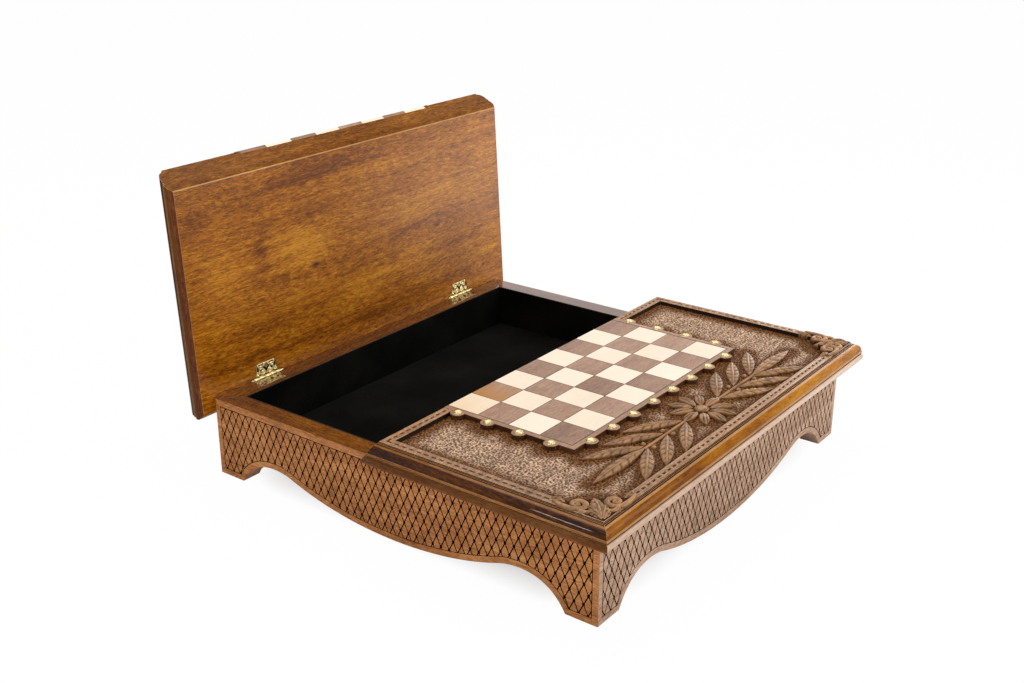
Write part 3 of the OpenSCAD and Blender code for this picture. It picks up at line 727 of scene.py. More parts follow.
def moulding_profile():
    """(reach past the base, height, sort along the sides, sort along the front) up the moulded edge.

    Each point has the sorts of the face above it."""
    quirk = SLOPE_H + FILLET_H
    bead = quirk + QUIRK_H
    riser = bead + BEAD_H
    # Sides get shaded copies of the walnut and the front fillet a lit one; the crest is a painted highlight,
    # and the valley sort, also used in the quirk, painted shade
    edge, fillet, dark, crest = ((SIDE_EDGE, FRONT_EDGE), (SIDE_FILLET, FRONT_FILLET), (VALLEY, VALLEY),
                                 (SIDE_CREST, FRONT_CREST))
    points = [(UNDER_OVER, 0.0, SLOPE, SLOPE), (OVER - 0.5, SLOPE_H - 0.6, *fillet)]
    points += [(*p, *fillet) for p in arc(OVER - 0.8, SLOPE_H + 0.3, 0.8, -40, 0, 3)]
    points += [(*p, *fillet) for p in arc(OVER - FILLET_ROUND, quirk - FILLET_ROUND, FILLET_ROUND, 0, 90, 6)]
    points += [(OVER - QUIRK_D, quirk, *dark), (OVER - QUIRK_D, bead, *crest)]
    points += [(*p, *crest)
               for p in arc(OVER - BEAD_BACK - BEAD_H / 2, bead + BEAD_H / 2, BEAD_H / 2, -60, 75, 8)]
    roll_x, roll_h = RIM_OVER + OVOLO_R - ROLL_R, riser + ROLL_UP
    points += [(*p, *edge) for p in arc(roll_x, roll_h, ROLL_R, -5, CREST, 11)]
    points += [(*p, *crest) for p in arc(roll_x, roll_h, ROLL_R, CREST + 6, ROLL_END, 4)]
    low = LEAF_H - VALLEY_D
    crest_x, crest_h, _, _ = points[-1]
    points[-1] = (crest_x, crest_h, *dark)
    points += [(RIM_OVER + out, low + up, *dark) for out, up in ((1.6, 0.05), (0.9, 0), (0, 0.3))]
    return points + [(RIM_OVER, LEAF_H - RIM_EDGE, *edge)]


def rim_profile():
    """(distance inward from the rim's outer edge, height) over the rim and down to the field."""
    def bead(start):
        return [(start + share * FILLET_W, LEAF_H - RIM_EDGE * (2 * share - 1) ** 2)
                for share in (0, 0.12, 0.3, 0.5, 0.7, 0.88, 1)]
    floor = LEAF_H - CHANNEL_D
    inner = RIM_W - FILLET_W
    return bead(0) + [(FILLET_W + 0.2, floor), (inner - 0.2, floor)] + bead(inner) + [(RIM_W, BED_H)]


def leaf_body(leaf):
    """The leaf's slab with its moulded edge, rim, sunk field and slanted split."""
    rim_h = LEAF_H - RIM_EDGE
    edge_y = leaf.split(rim_h)
    verts, faces, marks = [], [], []

    def add(points, sort):
        faces.append(list(range(len(verts), len(verts) + len(points))))
        verts.extend(points)
        marks.append(sort)

    def band(near, far, sorts):
        for i, sort in enumerate(sorts):
            add([near[i], near[i + 1], far[i + 1], far[i]], sort)

    def edge_stations(reach, height):
        x, y, split = HALF_L + reach, HALF_W + reach, leaf.split(height)
        return [(-x, split, height), (-x, y, height), (x, y, height), (x, split, height)]

    def rim_stations(inset, height):
        x, low, high = outer_x - inset, edge_y + inset, outer_y - inset
        return [(-PLATE_HALF, low, height), (-x, low, height), (-x, high, height), (x, high, height),
                (x, low, height), (PLATE_HALF, low, height)]

    profile = moulding_profile()
    for (*low, side, long), (*high, _, _) in zip(profile, profile[1:]):
        band(edge_stations(*low), edge_stations(*high), (side, long, side))
    outer_x, outer_y = HALF_L + RIM_OVER, HALF_W + RIM_OVER
    rim = rim_profile()
    for a, b in zip(rim, rim[1:]):
        # The channel and the rim's inner wall get the near-black of painted shade
        sort = SLOT if min(a[1], b[1]) < LEAF_H - RIM_EDGE - 0.1 else RIM
        band(rim_stations(*a), rim_stations(*b), [sort] * 5)
    field_y = edge_y + RIM_W
    for side in (-1, 1):
        x = side * PLATE_HALF
        cap = [(x, edge_y + inset, height) for inset, height in rim] + [(x, leaf.split(BED_H), BED_H)]
        add(cap, RIM)
    bed = [(-PLATE_HALF, leaf.split(BED_H)), (-PLATE_HALF, field_y), (-FIELD_HALF, field_y),
           (-FIELD_HALF, FIELD_REACH), (FIELD_HALF, FIELD_REACH), (FIELD_HALF, field_y),
           (PLATE_HALF, field_y), (PLATE_HALF, leaf.split(BED_H))]
    add([(*point, BED_H) for point in bed], RIM)
    left = [(-HALF_L - reach, leaf.split(height), height) for reach, height, _, _ in profile]
    right = [(-x, y, z) for x, y, z in left[::-1]]
    middle = [(side * PLATE_HALF, leaf.split(height), height)
              for side, height in ((-1, rim_h), (-1, BED_H), (1, BED_H), (1, rim_h))]
    add(left + middle + right, SPLIT)
    x, y = HALF_L + UNDER_OVER, HALF_W + UNDER_OVER
    add([(-x, leaf.split(0), 0), (x, leaf.split(0), 0), (x, y, 0), (-x, y, 0)], UNDERSIDE)

    points = np.array(verts, float)
    points[:, 1] *= leaf.side
    obj = tidy(new_object(leaf.name + "_leaf_body", points, faces, LEAF_FINISHES, marks))
    low_split = leaf.side * leaf.split(0)
    # The rounded split edge and all other rounded edges get the pale walnut of a painted highlight
    eased(obj, lambda at: max(abs(at.z), abs(at.y - low_split)) < EDGE_PICK, SPLIT_ROUND, EDGE_HIGHLIGHT)
    bevelled(obj, EDGE_ROUND, sort=EDGE_HIGHLIGHT)
    cut_seats(obj, leaf.side * AXIS_V, AXIS_Z - LID_Z, leaf.side, 1, UNDERSIDE_WOOD)
    leaf.put(obj, "leaf", "walnut")


def cut_seats(obj, y, z, outward, up, material):
    """Cuts the seats of two half hinges: a mortise for each plate and a groove for each barrel."""
    depth = PLATE_INSET + PLATE_T + abs(AXIS_Z - (LID_Z if up > 0 else BASE_H))
    near, far, reach = (size + MORTISE_ROOM for size in (PLATE_WIDE / 2, PLATE_NARROW / 2, PLATE_REACH))
    verts, faces = prism([(-near, 0.0), (-far, -reach), (far, -reach), (near, 0.0)], 0.0, depth)
    verts = verts * (1, outward, up)
    groove = 2 * (BARREL_L / 2 + KNUCKLE_GAP + 2 * BALL_R + BARREL_ROOM)
    ring = arc(0, 0, BARREL_R + BARREL_ROOM, 0, 360, 32)[:-1]
    bar_verts, bar_faces = along_x(prism(ring, -groove / 2, groove / 2))
    for x in (-HINGE_X, HINGE_X):
        seat = tidy(new_object("mortise", verts + (x, y, z), faces, [material]))
        bar = tidy(new_object("groove", bar_verts + (x, y, z), bar_faces, [material]))
        boolean(obj, boolean(seat, bar, "UNION"), "DIFFERENCE")


# ---- Ground and rim ----------------------------------------------------------

PUNCH_PITCH = 2.6
PUNCH_R = 1.38
PUNCH_D = 1.0
PUNCH_STRAY = 0.75            # how far the marks stray from their rows, as a share of the pitch
GROUND_STEP = 0.62
GROUND_TOP = FIELD_H + 0.35   # the ground's highest ridges, in the leaf's own height
GROUND_UNDER = 1.0            # how far the ground runs in under the board plate
SHADE_NEAR, SHADE_FAR = 6, 24   # the ground's painted shade fades out over these distances from what stands on it


def jitter(i, j, key):
    """A number from 0 to 1 for each mark, the same in every run."""
    value = np.sin(i * 127.1 + j * 311.7 + key * 74.7 + 5) * 43758.5453
    return value - np.floor(value)


def punched(x, y):
    """Depth of the punch marks at each point: jittered round dimples in staggered rows."""
    ci, cj = np.floor(x / PUNCH_PITCH), np.floor(y / PUNCH_PITCH)
    nearest = np.full(x.shape, 9.0)
    for di in (-2, -1, 0, 1):
        for dj in (-1, 0, 1):
            i, j = ci + di, cj + dj
            px = (i + 0.5 + 0.5 * (j % 2) + PUNCH_STRAY * (jitter(i, j, 1) - 0.5)) * PUNCH_PITCH
            py = (j + 0.5 + PUNCH_STRAY * (jitter(i, j, 2) - 0.5)) * PUNCH_PITCH
            size = 0.8 + 0.45 * jitter(i, j, 3)
            nearest = np.minimum(nearest, np.hypot(x - px, y - py) / size)
    return np.clip(1 - (nearest / PUNCH_R) ** 2, 0, 1)


def plate_distance(x, y):
    """Distance from the board plate and its lobes."""
    dx, dy = np.maximum(np.abs(x) - PLATE_HALF, 0), np.maximum(y - PLATE_END, 0)
    distance = np.hypot(dx, dy)
    for sx, sy in STUDS:
        distance = np.minimum(distance, np.maximum(np.hypot(x - sx, y - sy) - LOBE_R, 0))
    return distance


def carving_distance(x, y):
    """Distance from the rosette, the sprays' leaves and the corner carvings, roughly."""
    along, across = np.abs(x), y - STRIP_Y
    distance = np.hypot(along, across) - 0.9 * CARVING_REACH
    for start_x, start_y, turn, long, wide in spray_leaves():
        c, s = math.cos(math.radians(turn)), math.sin(math.radians(turn))
        dx, dy = along - start_x, across - start_y
        u = np.clip(dx * c + dy * s, 0, long)
        distance = np.minimum(distance, np.hypot(dx - u * c, dy - u * s) - wide / 3)
    corner = np.hypot(FIELD_HALF - along, FIELD_REACH - y) - 0.8 * CORNER_L
    return np.maximum(np.minimum(distance, corner), 0)


def ground(leaf):
    """The punched ground of the field, as three slabs around the board plate."""
    edge = leaf.split(LEAF_H - RIM_EDGE) + RIM_W
    inside, end = PLATE_HALF - GROUND_UNDER, PLATE_END - GROUND_UNDER
    parts, halo = [], []
    for x0, x1, y0, y1 in ((-FIELD_HALF, -inside, edge, end), (inside, FIELD_HALF, edge, end),
                           (-FIELD_HALF, FIELD_HALF, end, FIELD_REACH)):
        cols, rows = round((x1 - x0) / GROUND_STEP) + 1, round((y1 - y0) / GROUND_STEP) + 1
        x, y = np.meshgrid(np.linspace(x0, x1, cols), np.linspace(y0, y1, rows))
        marks = punched(x, y)
        wall = np.minimum.reduce([plate_distance(x, y), FIELD_HALF - np.abs(x), FIELD_REACH - y, y - edge])
        top = GROUND_TOP - 0.3 * (1 - smooth_step(wall, 0, 3)) - PUNCH_D * marks * smooth_step(wall, 0.5, 2.5)
        verts, faces = slab(x, y, top, BED_H - 0.3)
        hidden = np.ones(len(verts) - top.size)
        # Painted shade, darkest beside the rim, the board plate and the carvings
        near = 1 - smooth_step(np.minimum(wall, 1.6 * carving_distance(x, y)), SHADE_NEAR, SHADE_FAR)
        halo.append(np.concatenate([near.ravel(), hidden]))
        # The punch marks' depth, as painted shade in the pits
        parts.append((verts, faces, np.concatenate([marks.ravel() ** 0.8, hidden])))
    obj = leaf.add("ground", parts, GROUND_WOOD, sharp=80)
    mark(obj, "halo", np.concatenate(halo))


def rim_bridges(leaf):
    """The short bars that divide the rim's channel into dashes."""
    inset = RIM_W / 2
    edge = leaf.split(LEAF_H - RIM_EDGE) + inset
    x, y = HALF_L + RIM_OVER - inset, HALF_W + RIM_OVER - inset
    stops = [(-PLATE_HALF, edge, PLATE_CLEAR), (-x, edge, SPLIT_CLEAR), (-x, y, CORNER_CLEAR),
             (x, y, CORNER_CLEAR), (x, edge, SPLIT_CLEAR), (PLATE_HALF, edge, PLATE_CLEAR)]
    parts = []
    for (*start, skip_start), (*end, skip_end) in zip(stops, stops[1:]):
        start, end = np.array(start), np.array(end)
        length = np.linalg.norm(end - start)
        along = (end - start) / length
        room = length - skip_start - skip_end
        count = max(1, round(room / DASH_PITCH))
        parts += [rounded_bar(start + along * (skip_start + room * k / count), along)
                  for k in range(count + 1)]
    leaf.add("rim_bridges", parts, RIM_WOOD)


def rounded_bar(centre, along):
    """A bar across the rim's channel, with its upper ends sloped."""
    half_l, half_w = BRIDGE_L / 2, RIM_W / 2 - FILLET_W + 0.3
    across = np.array([-along[1], along[0]])
    return loft([[[*(centre + along * reach * a + across * half_w * b), z]
                  for a, b in ((-1, -1), (1, -1), (1, 1), (-1, 1))]
                 for reach, z in ((half_l, LEAF_H - CHANNEL_D - 0.3), (half_l, LEAF_H - 0.9),
                                  (half_l - 0.7, LEAF_H - 0.25))])


# ---- Board -------------------------------------------------------------------

PLATE_CHAMFER = 0.35
LOBE_STEPS = 16


def board_plate(leaf):
    """The plate under the squares, with a round lobe for each stud and a recess for the inlay."""
    spread = 90 + math.degrees(math.asin((STUD_OUT - PLATE_MARGIN - STRINGING) / LOBE_R))

    def outline(inset, height):
        def lobe(cx, cy, outward):
            return arc(cx, cy, LOBE_R - inset, outward + spread, outward - spread, LOBE_STEPS)
        half, end = PLATE_HALF - inset, PLATE_END - inset
        points = [(-half, leaf.split(height))]
        for rank in range(RANKS):
            points += lobe(-BOARD_HALF - STUD_OUT, (rank + 0.5) * SQUARE, 180)
        points.append((-half, end))
        for file in range(FILES):
            points += lobe((file + 0.5) * SQUARE - BOARD_HALF, BOARD_REACH + STUD_OUT, 90)
        points.append((half, end))
        for rank in reversed(range(RANKS)):
            points += lobe(BOARD_HALF + STUD_OUT, (rank + 0.5) * SQUARE, 0)
        points.append((half, leaf.split(height)))
        return [(x, y, height) for x, y in points][::-1]

    def recess(height):
        y = leaf.split(height)
        return [(-INLAY_HALF, y, height), (-INLAY_HALF, INLAY_REACH, height),
                (INLAY_HALF, INLAY_REACH, height), (INLAY_HALF, y, height)]

    rings = [outline(0, BED_H), outline(0, LEAF_H - PLATE_CHAMFER), outline(PLATE_CHAMFER, LEAF_H)]
    upper, lower = recess(LEAF_H), recess(LEAF_H - SQUARE_T)
    verts = sum(rings, []) + upper + lower
    count = len(rings[0])
    last, up, down = count - 1, 3 * count, 3 * count + 4
    top, side, split = range(3)
    faces = tube(len(rings), count, closed=False)
    faces.append(list(range(2 * count, down)))
    faces += [[up + i, down + i, down + i + 1, up + i + 1] for i in range(3)]
    faces += [[down, down + 3, down + 2, down + 1], list(range(count))[::-1]]
    faces.append([0, count, 2 * count, up + 3, down + 3, down, up, 2 * count + last, count + last, last])
    sorts = [side] * last + [top] * last + [top] + [side] * 5 + [split]
    points = np.array(verts, float)
    points[:, 1] *= leaf.side
    obj = new_object(leaf.name + "_board_plate_dressed", points, faces,
                     [PLATE_WOOD, PLATE_SIDE_WOOD, SHADED_SPLIT_WOOD], sorts)
    leaf.put(tidy(obj), "board_plate", "carved_walnut")


GLUE_LINE = 0.55
GLUE_SUNK = 0.12       # how far the glue lines lie below the squares' faces
SQUARE_CHAMFER = 0.25
# how warm the left and right sides of a few squares are
WARM_SQUARES = {("front", 1, 0): (0.85, 0.1), ("front", 0, 0): (0.4, 0.1)}


def squares(leaf, name, material, odd, slot):
    """Inlaid squares with a fine chamfer; those of the first rank end at the slanted split."""
    parts, tone, warm = [], [], []
    gap = SQUARE_JOINT / 2 + GLUE_LINE / 2
    for file in range(FILES):
        for rank in range(RANKS):
            if (file + rank) % 2 != odd:
                continue
            x0, x1 = file * SQUARE - BOARD_HALF + gap, (file + 1) * SQUARE - BOARD_HALF - gap
            y1 = (rank + 1) * SQUARE - gap
            rings = []
            for inset, height in ((0, LEAF_H - SQUARE_T), (0, LEAF_H - SQUARE_CHAMFER),
                                  (SQUARE_CHAMFER, LEAF_H)):
                y0 = leaf.split(height) if rank == 0 else rank * SQUARE + gap + inset
                rings.append([(x0 + inset, y0, height), (x1 - inset, y0, height),
                              (x1 - inset, y1 - inset, height), (x0 + inset, y1 - inset, height)])
            parts.append(loft(rings))
            tone += [(file * 5 + rank * 3) % 7 / 6] * 12
            left, right = WARM_SQUARES.get((leaf.name, file, rank), (0.0, 0.0))
            warm += [left, right, right, left] * 3
    obj = leaf.add(name, parts, material, name, slot)
    mark(obj, "tone", tone)
    mark(obj, "warm", warm)


def glue_lines(leaf):
    """The dark lines between the squares, as bars that lie a hair below the squares' faces."""
    low, high, half = LEAF_H - SQUARE_T, LEAF_H - GLUE_SUNK, (SQUARE_JOINT + GLUE_LINE) / 2
    parts = []
    for line in range(FILES + 1):
        x = line * SQUARE - BOARD_HALF
        x0, x1 = max(x - half, -BOARD_HALF), min(x + half, BOARD_HALF)
        parts.append(loft([[(x0, leaf.split(z), z), (x1, leaf.split(z), z), (x1, BOARD_REACH, z),
                            (x0, BOARD_REACH, z)] for z in (low, high)]))
    for line in range(1, RANKS + 1):
        y = line * SQUARE
        y0, y1 = y - half, min(y + half, BOARD_REACH)
        parts.append(prism([(-BOARD_HALF, y0), (BOARD_HALF, y0), (BOARD_HALF, y1), (-BOARD_HALF, y1)],
                           low, high - 0.01))
    leaf.add("glue_lines", parts, GLUE_DARK)


def studs(leaf):
    """Brass studs: a flange, a groove and a dome pressed into eight flutes."""
    profile = [(1.0, -2.0), (STUD_R, 0.0), (STUD_R, 0.3), (STUD_R - 0.35, 0.55), (STUD_R - 0.7, 0.4),
               (STUD_R - 0.95, 0.85), (STUD_R - 1.4, 1.35), (STUD_R - 2.2, STUD_H - 0.7),
               (STUD_R - 3.2, STUD_H - 0.35), (STUD_R - 3.9, STUD_H - 0.1), (0.5, STUD_H)]
    fluting = [0, 0, 0, 0, 0, 0.15, 0.4, 0.35, 0.15, 0, 0]
    cavity = np.repeat([1, 0.6, 0, 0, 1, 0.3, 0, 0, 0, 0, 0], STUD_STEPS)
    stud = (*lathe(profile, STUD_STEPS, 8, fluting), cavity)
    parts = [moved(stud, sx, sy, LEAF_H, 15 * i) for i, (sx, sy) in enumerate(STUDS)]
    leaf.add("studs_dressed", parts, BRASS, "studs", "antique_brass", sharp=50)


# ---- Carvings ----------------------------------------------------------------

CARVING_H = 4.5
TIP_H = 2.0
CARVING_REACH = (FIELD_REACH - STRIP_LOW) / 2 - 3.0
BOSS_R = 8.0
BOSS_STEPS = 48
KNOB_STEPS = 20
PETALS = 10
SPRAY_DEG = 30.0
SPRAY_PITCH = 38.0
SPRAY_W = 15.0
SPRAY_PAIRS = 3
STEM_W = 4.0
BERRY_BACK, BERRY_OUT = 5.5, 6.2    # a berry's place from the foot of a pair of leaves
CARVING_GAP = 0.5
CORNER_L = 48.0
SCROLL_LIFT = 2.2
SCROLL_CAVITY = (0.9, 0.6, 0.3, 0, 0, 0, 0, 0, 0.3, 0.6, 0.9)   # painted shade around the section of a scroll, darkest at its foot
CARVING_SUNK = 0.3      # how far the carvings' undersides lie below the field
CARVED_MIN = 0.3        # least height of a carved leaf
LOBE_D = 0.16           # depth of the notches in its edge, as a share of its width
VEIN_D = 0.75           # depth of the veins
RIB_H, RIB_W = 0.35, 0.55       # the midrib
FLANK_D, FLANK_OUT = 0.45, 1.5  # the hollow along the midrib, and how far out it lies
SPRAY_X = CARVING_REACH + CARVING_GAP
SPRAY_END = FIELD_HALF - CORNER_L - CARVING_GAP
LAST_X = SPRAY_X + (SPRAY_PAIRS - 1) * SPRAY_PITCH
CURL = (25.0, 0.5)      # middle of a corner scroll's curl, from the inner corner of the rim


def carved_leaf(long, wide, high, tip, lobes, rows=46, cols=17):
    """A pointed leaf along x with lobed edges, a raised midrib and slanting veins."""
    share, across = np.meshgrid(np.linspace(0, 1, rows), np.linspace(-1, 1, cols), indexing="ij")
    bow = (long ** 2 + wide ** 2) / (4 * wide)
    half = np.sqrt(np.maximum(bow ** 2 - (long * (share - 0.5)) ** 2, 0)) - (bow - wide / 2)
    scallop = 1 - LOBE_D * (1 - np.abs(np.cos(math.pi * lobes * share))) * smooth_step(share, 0, 0.15)
    half = np.maximum(half * scallop, 0.05)
    x, y = share * long, across * half
    dome = tip + (high - tip) * (1 - (2 * share - 1) ** 2)
    body = dome * (0.7 + 0.3 * np.sqrt(1 - across ** 2))
    slack = np.clip(half / (wide / 2), 0, 1)
    vein = np.cos(2 * math.pi * (lobes * share - 0.55 * np.abs(across)))
    cut = np.clip(-vein, 0, 1) ** 1.5 * smooth_step(np.abs(across), 0.12, 0.35) * slack
    rib = np.exp(-(across * half / RIB_W) ** 2) * slack
    flank = np.exp(-((np.abs(across) * half - FLANK_OUT) / 0.6) ** 2) * slack
    top = body - VEIN_D * cut + RIB_H * rib - FLANK_D * flank
    verts, faces = slab(x, y, FIELD_H + np.maximum(top, CARVED_MIN), FIELD_H - CARVING_SUNK)
    # Painted shade in the veins, along the midrib and on the low parts and sides of the leaf
    hollow = np.clip(0.75 * cut + 0.6 * flank + 0.2 * (1 - top / high), 0, 0.9)
    cavity = np.concatenate([hollow.ravel(), np.full(len(verts) - hollow.size, 0.8)])
    return verts, faces, cavity


def scroll(path, radii, tops):
    """A rounded band on the field, swept along a path, with a radius and a top height at each point."""
    radii, tops = (np.broadcast_to(values, len(path)) for values in (radii, tops))
    along = np.gradient(path, axis=0)
    along /= np.linalg.norm(along, axis=1)[:, None]
    across = np.c_[-along[:, 1], along[:, 0]]
    rings = []
    for point, side, radius, top in zip(path, across, radii, tops):
        shoulder = max(top - 1.2 * radius, FIELD_H + 0.1)
        bow = [(*(point - side * radius * math.cos(angle)), shoulder + (top - shoulder) * math.sin(angle))
               for angle in np.radians(np.linspace(0, 180, 9))]
        rings.append([(*(point - side * radius), FIELD_H), *bow, (*(point + side * radius), FIELD_H)])
    return (*loft(rings), np.tile(SCROLL_CAVITY, len(path)))


def spray_leaves():
    """(x, y, turn, length, width) of the leaves of the spray on the right of the rosette."""
    off = STEM_W / 2 + CARVING_GAP
    long = (CARVING_REACH - off) / math.sin(math.radians(SPRAY_DEG))
    leaves = [(SPRAY_X + pair * SPRAY_PITCH, side * off, side * SPRAY_DEG, long, SPRAY_W)
              for pair in range(SPRAY_PAIRS) for side in (-1, 1)]
    return leaves + [(LAST_X + 1.0, 0.0, 0.0, SPRAY_END - LAST_X - 1.0, SPRAY_W)]


def spray_carving(leaf):
    """A rosette with a leafy spray on either side."""
    petal_l = CARVING_REACH - BOSS_R - CARVING_GAP
    petal_w = (2 * (BOSS_R + petal_l / 3) * math.sin(math.pi / PETALS) - CARVING_GAP) * 9 / 8
    petal = carved_leaf(petal_l, petal_w, CARVING_H, TIP_H, lobes=1, rows=26, cols=15)
    parts = []
    for i in range(PETALS):
        turn, start = i * 360 / PETALS, BOSS_R + CARVING_GAP
        x, y = start * math.cos(math.radians(turn)), start * math.sin(math.radians(turn))
        parts.append(moved(petal, x, STRIP_Y + y, 0, turn))
    boss = lathe([(BOSS_R, -CARVING_SUNK), (BOSS_R, 2.6), (BOSS_R - 0.8, 3.6), (BOSS_R - 1.8, 3.2),
                  (BOSS_R - 2.4, 3.5), (BOSS_R - 3.6, 4.2), (BOSS_R - 5.5, CARVING_H), (0.3, CARVING_H)],
                 BOSS_STEPS, 12, [0, 0, 0.25, 0, 0.15, 0.1, 0, 0])
    # Painted shade at the boss's foot and in its step
    cavity = np.repeat([0.9, 0.4, 0, 0.9, 0.2, 0, 0, 0], BOSS_STEPS)
    parts.append(moved((*boss, cavity), 0, STRIP_Y, FIELD_H))
    berry = lathe([(2.2, 0), (2.6, 1.2), (2.2, 2.4), (1.2, 3.2), (0.2, 3.4)], KNOB_STEPS)
    stem = np.c_[np.linspace(SPRAY_X - 1, LAST_X + 3, 20), np.full(20, STRIP_Y)]
    for flip in (False, True):
        parts += [moved(carved_leaf(long, wide, CARVING_H, TIP_H, lobes=7), x, STRIP_Y + y, 0, turn, flip)
                  for x, y, turn, long, wide in spray_leaves()]
        parts.append(moved(scroll(stem, STEM_W / 2 - 0.2, FIELD_H + 2.2), flip=flip))
        parts += [moved(berry, SPRAY_X + pair * SPRAY_PITCH - BERRY_BACK, STRIP_Y + side * BERRY_OUT, FIELD_H,
                        0, flip)
                  for pair in range(1, SPRAY_PAIRS) for side in (-1, 1)]
    leaf.add("spray_carving_dressed", parts, CARVED_WOOD, "spray_carving", sharp=50)


def corner_scroll():
    """Half of a corner: a C-scroll that comes in along the rim, a smaller one, and their small leaves."""
    high = LEAF_H - FIELD_H
    lead = bezier((46, -7.5), (40, -9.6), (33, -9.8), (25, -9.1), 16)
    path = np.concatenate([lead, spiral(*CURL, 9.6, -90, -1.25, 0.74, 48)[1:]])
    share = np.linspace(0, 1, len(path))
    radii = 1.5 + 2.2 * np.sin(math.pi * np.clip(share * 1.1, 0, 1)) ** 0.7
    tops = LEAF_H + SCROLL_LIFT - 0.7 * smooth_step(share, 0.4, 1.0)
    parts = [scroll(path, radii, tops)]
    eye = lathe([(2.6, 0), (2.6, high + 0.4), (2.0, high + 1.3), (1.0, high + 1.8), (0.2, high + 1.9)],
                KNOB_STEPS)
    parts.append(moved(eye, *CURL, FIELD_H))
    curve = bezier((17.5, -8.0), (6.0, -11.0), (4.0, 0.5), (12.5, 7.0), 24)
    share = np.linspace(0, 1, len(curve))
    parts.append(scroll(curve, 3.0 - 1.4 * share, LEAF_H + SCROLL_LIFT - 0.6 * share))
    ball = lathe([(2.9, 0), (2.9, high + 0.6), (2.2, high + 1.8), (1.1, high + 2.4), (0.2, high + 2.5)],
                 KNOB_STEPS)
    parts.append(moved(ball, 17.5, -7.2, FIELD_H))
    small = carved_leaf(19, 8.5, high + SCROLL_LIFT - 0.3, high - 0.5, lobes=3, rows=28, cols=13)
    parts.append(moved(small, 35, -3.0, 0, 3))
    return parts


def swapped(part):
    """A shell mirrored across the diagonal of x and y."""
    verts, faces, *rest = part
    return (verts[:, [1, 0, 2]], reversed_faces(faces), *rest)


CORNER_PAD = ((-10.8, -10.8), (42, -10.5), (46, -7), (42, -3), (34, 0), (24, 12), (12, 24), (0, 34), (-3, 42),
              (-7, 46), (-10.5, 42))
# (turn, length, width) of the fan's leaves, which start near the corner
FAN = ((45, 44, 15), (29, 32, 9), (61, 32, 9), (14, 22, 6), (76, 22, 6))
FAN_FOOT = -9.5


def at_corners(parts):
    """Shells laid out from an inner corner of the rim, placed at both of a leaf's corners."""
    placed = []
    for verts, faces, *rest in parts:
        corner = (verts * (-1, -1, 1) + (FIELD_HALF, FIELD_REACH, 0), faces, *rest)
        placed += [corner, moved(corner, flip=True)]
    return placed


def corner_carvings(leaf):
    """A fan between pairs of C-scrolls in each outer corner of the rim, on a dark sunk bed that paints the
    shade between them.
    """
    high = LEAF_H - FIELD_H
    arm = corner_scroll()
    parts = arm + [swapped(part) for part in arm]
    for turn, long, wide in FAN:
        blade = carved_leaf(long, wide, high + SCROLL_LIFT + 0.3, high - 1.0, lobes=4)
        parts.append(moved(blade, FAN_FOOT, FAN_FOOT, 0, turn))
    # The dark bed is painted shade under and between the carvings
    pad = prism(CORNER_PAD, FIELD_H - CARVING_SUNK, LEAF_H + 0.15)
    leaf.add("corner_shade_beds", at_corners([pad]), SHADE_BED)
    leaf.add("corner_carvings_dressed", at_corners(parts), CARVED_WOOD, "corner_carvings", sharp=50)


# ---- Carcass -----------------------------------------------------------------

# How far the handles of the curves of the belly and the arch reach, as shares of their widths
LEVEL_SHARE, CLIMB_SHARE, RISE_SHARE, CROWN_SHARE = 0.35, 0.3, 0.2, 0.27
LATTICE_TOP = 84.7
LATTICE_PITCH = 10.79
LATTICE_RISE = 22.0
LATTICE_MARGIN = 7.0   # the plain border around the sunk field of the lattice
LATTICE_D = 1.1        # depth of the cut lines
LATTICE_GAP = 0.7      # the line between the border and the diamonds
LATTICE_BACK = 1.0     # wood behind the cut lines, before the lattice is cut to its outline
LATTICE_KEPT = 0.4     # and after
GROOVE_HALF = 0.62     # half the width of a cut line at the surface
GROOVE_FLOOR = 0.45    # half its width at the bottom
DOT_R = 1.7            # the round pit where two lines cross, at the surface
DOT_FLOOR = 1.35       # and at the bottom
DOT_STEPS = 4
LATTICE_ROWS = range(-9, 2)   # rows of diamonds, counted from the lattice's top edge up
PANEL_ROUND = 0.4      # rounding of a panel's edges
PANEL_SHARP = 50       # only edges sharper than so many degrees are rounded


def half_outline(half):
    """Lower outline of half a panel: the belly up to the knee, then the arch down to the foot."""
    foot = half - FOOT_W
    knee = foot - ARCH_W
    climb, rise = CLIMB_SHARE * knee, RISE_SHARE * ARCH_W
    belly = bezier((0, BELLY_GAP), (LEVEL_SHARE * knee, BELLY_GAP),
                   (knee - climb, KNEE_H - climb * KNEE_SLOPE), (knee, KNEE_H))
    arch = bezier((knee, KNEE_H), (knee + rise, KNEE_H + rise * KNEE_SLOPE),
                  (foot - CROWN_SHARE * ARCH_W, ARCH_PULL), (foot, 0), 20)
    return np.concatenate([belly, arch[1:]])


def inset_outline(half, margin):
    """The outline moved into the panel by a margin, point for point, with level feet."""
    run = half_outline(half)
    slope = np.gradient(run, axis=0)
    normal = np.c_[-slope[:, 1], slope[:, 0]]
    inner = run + normal / np.linalg.norm(normal, axis=1)[:, None] * margin
    inner[0, 0] = 0
    first = int(np.argmax(inner[:, 1] < margin))
    a, b = inner[first - 1], inner[first]
    inner[first:] = a + (b - a) * ((a[1] - margin) / (a[1] - b[1]))
    return inner


def whole(run, half, top, foot_z):
    """A whole outline, counter-clockwise from the middle of the belly, from its right half."""
    right = np.concatenate([run, [(half, foot_z), (half, top)]])
    left = (right * (-1, 1))[::-1][:-1]
    return np.concatenate([right, left])


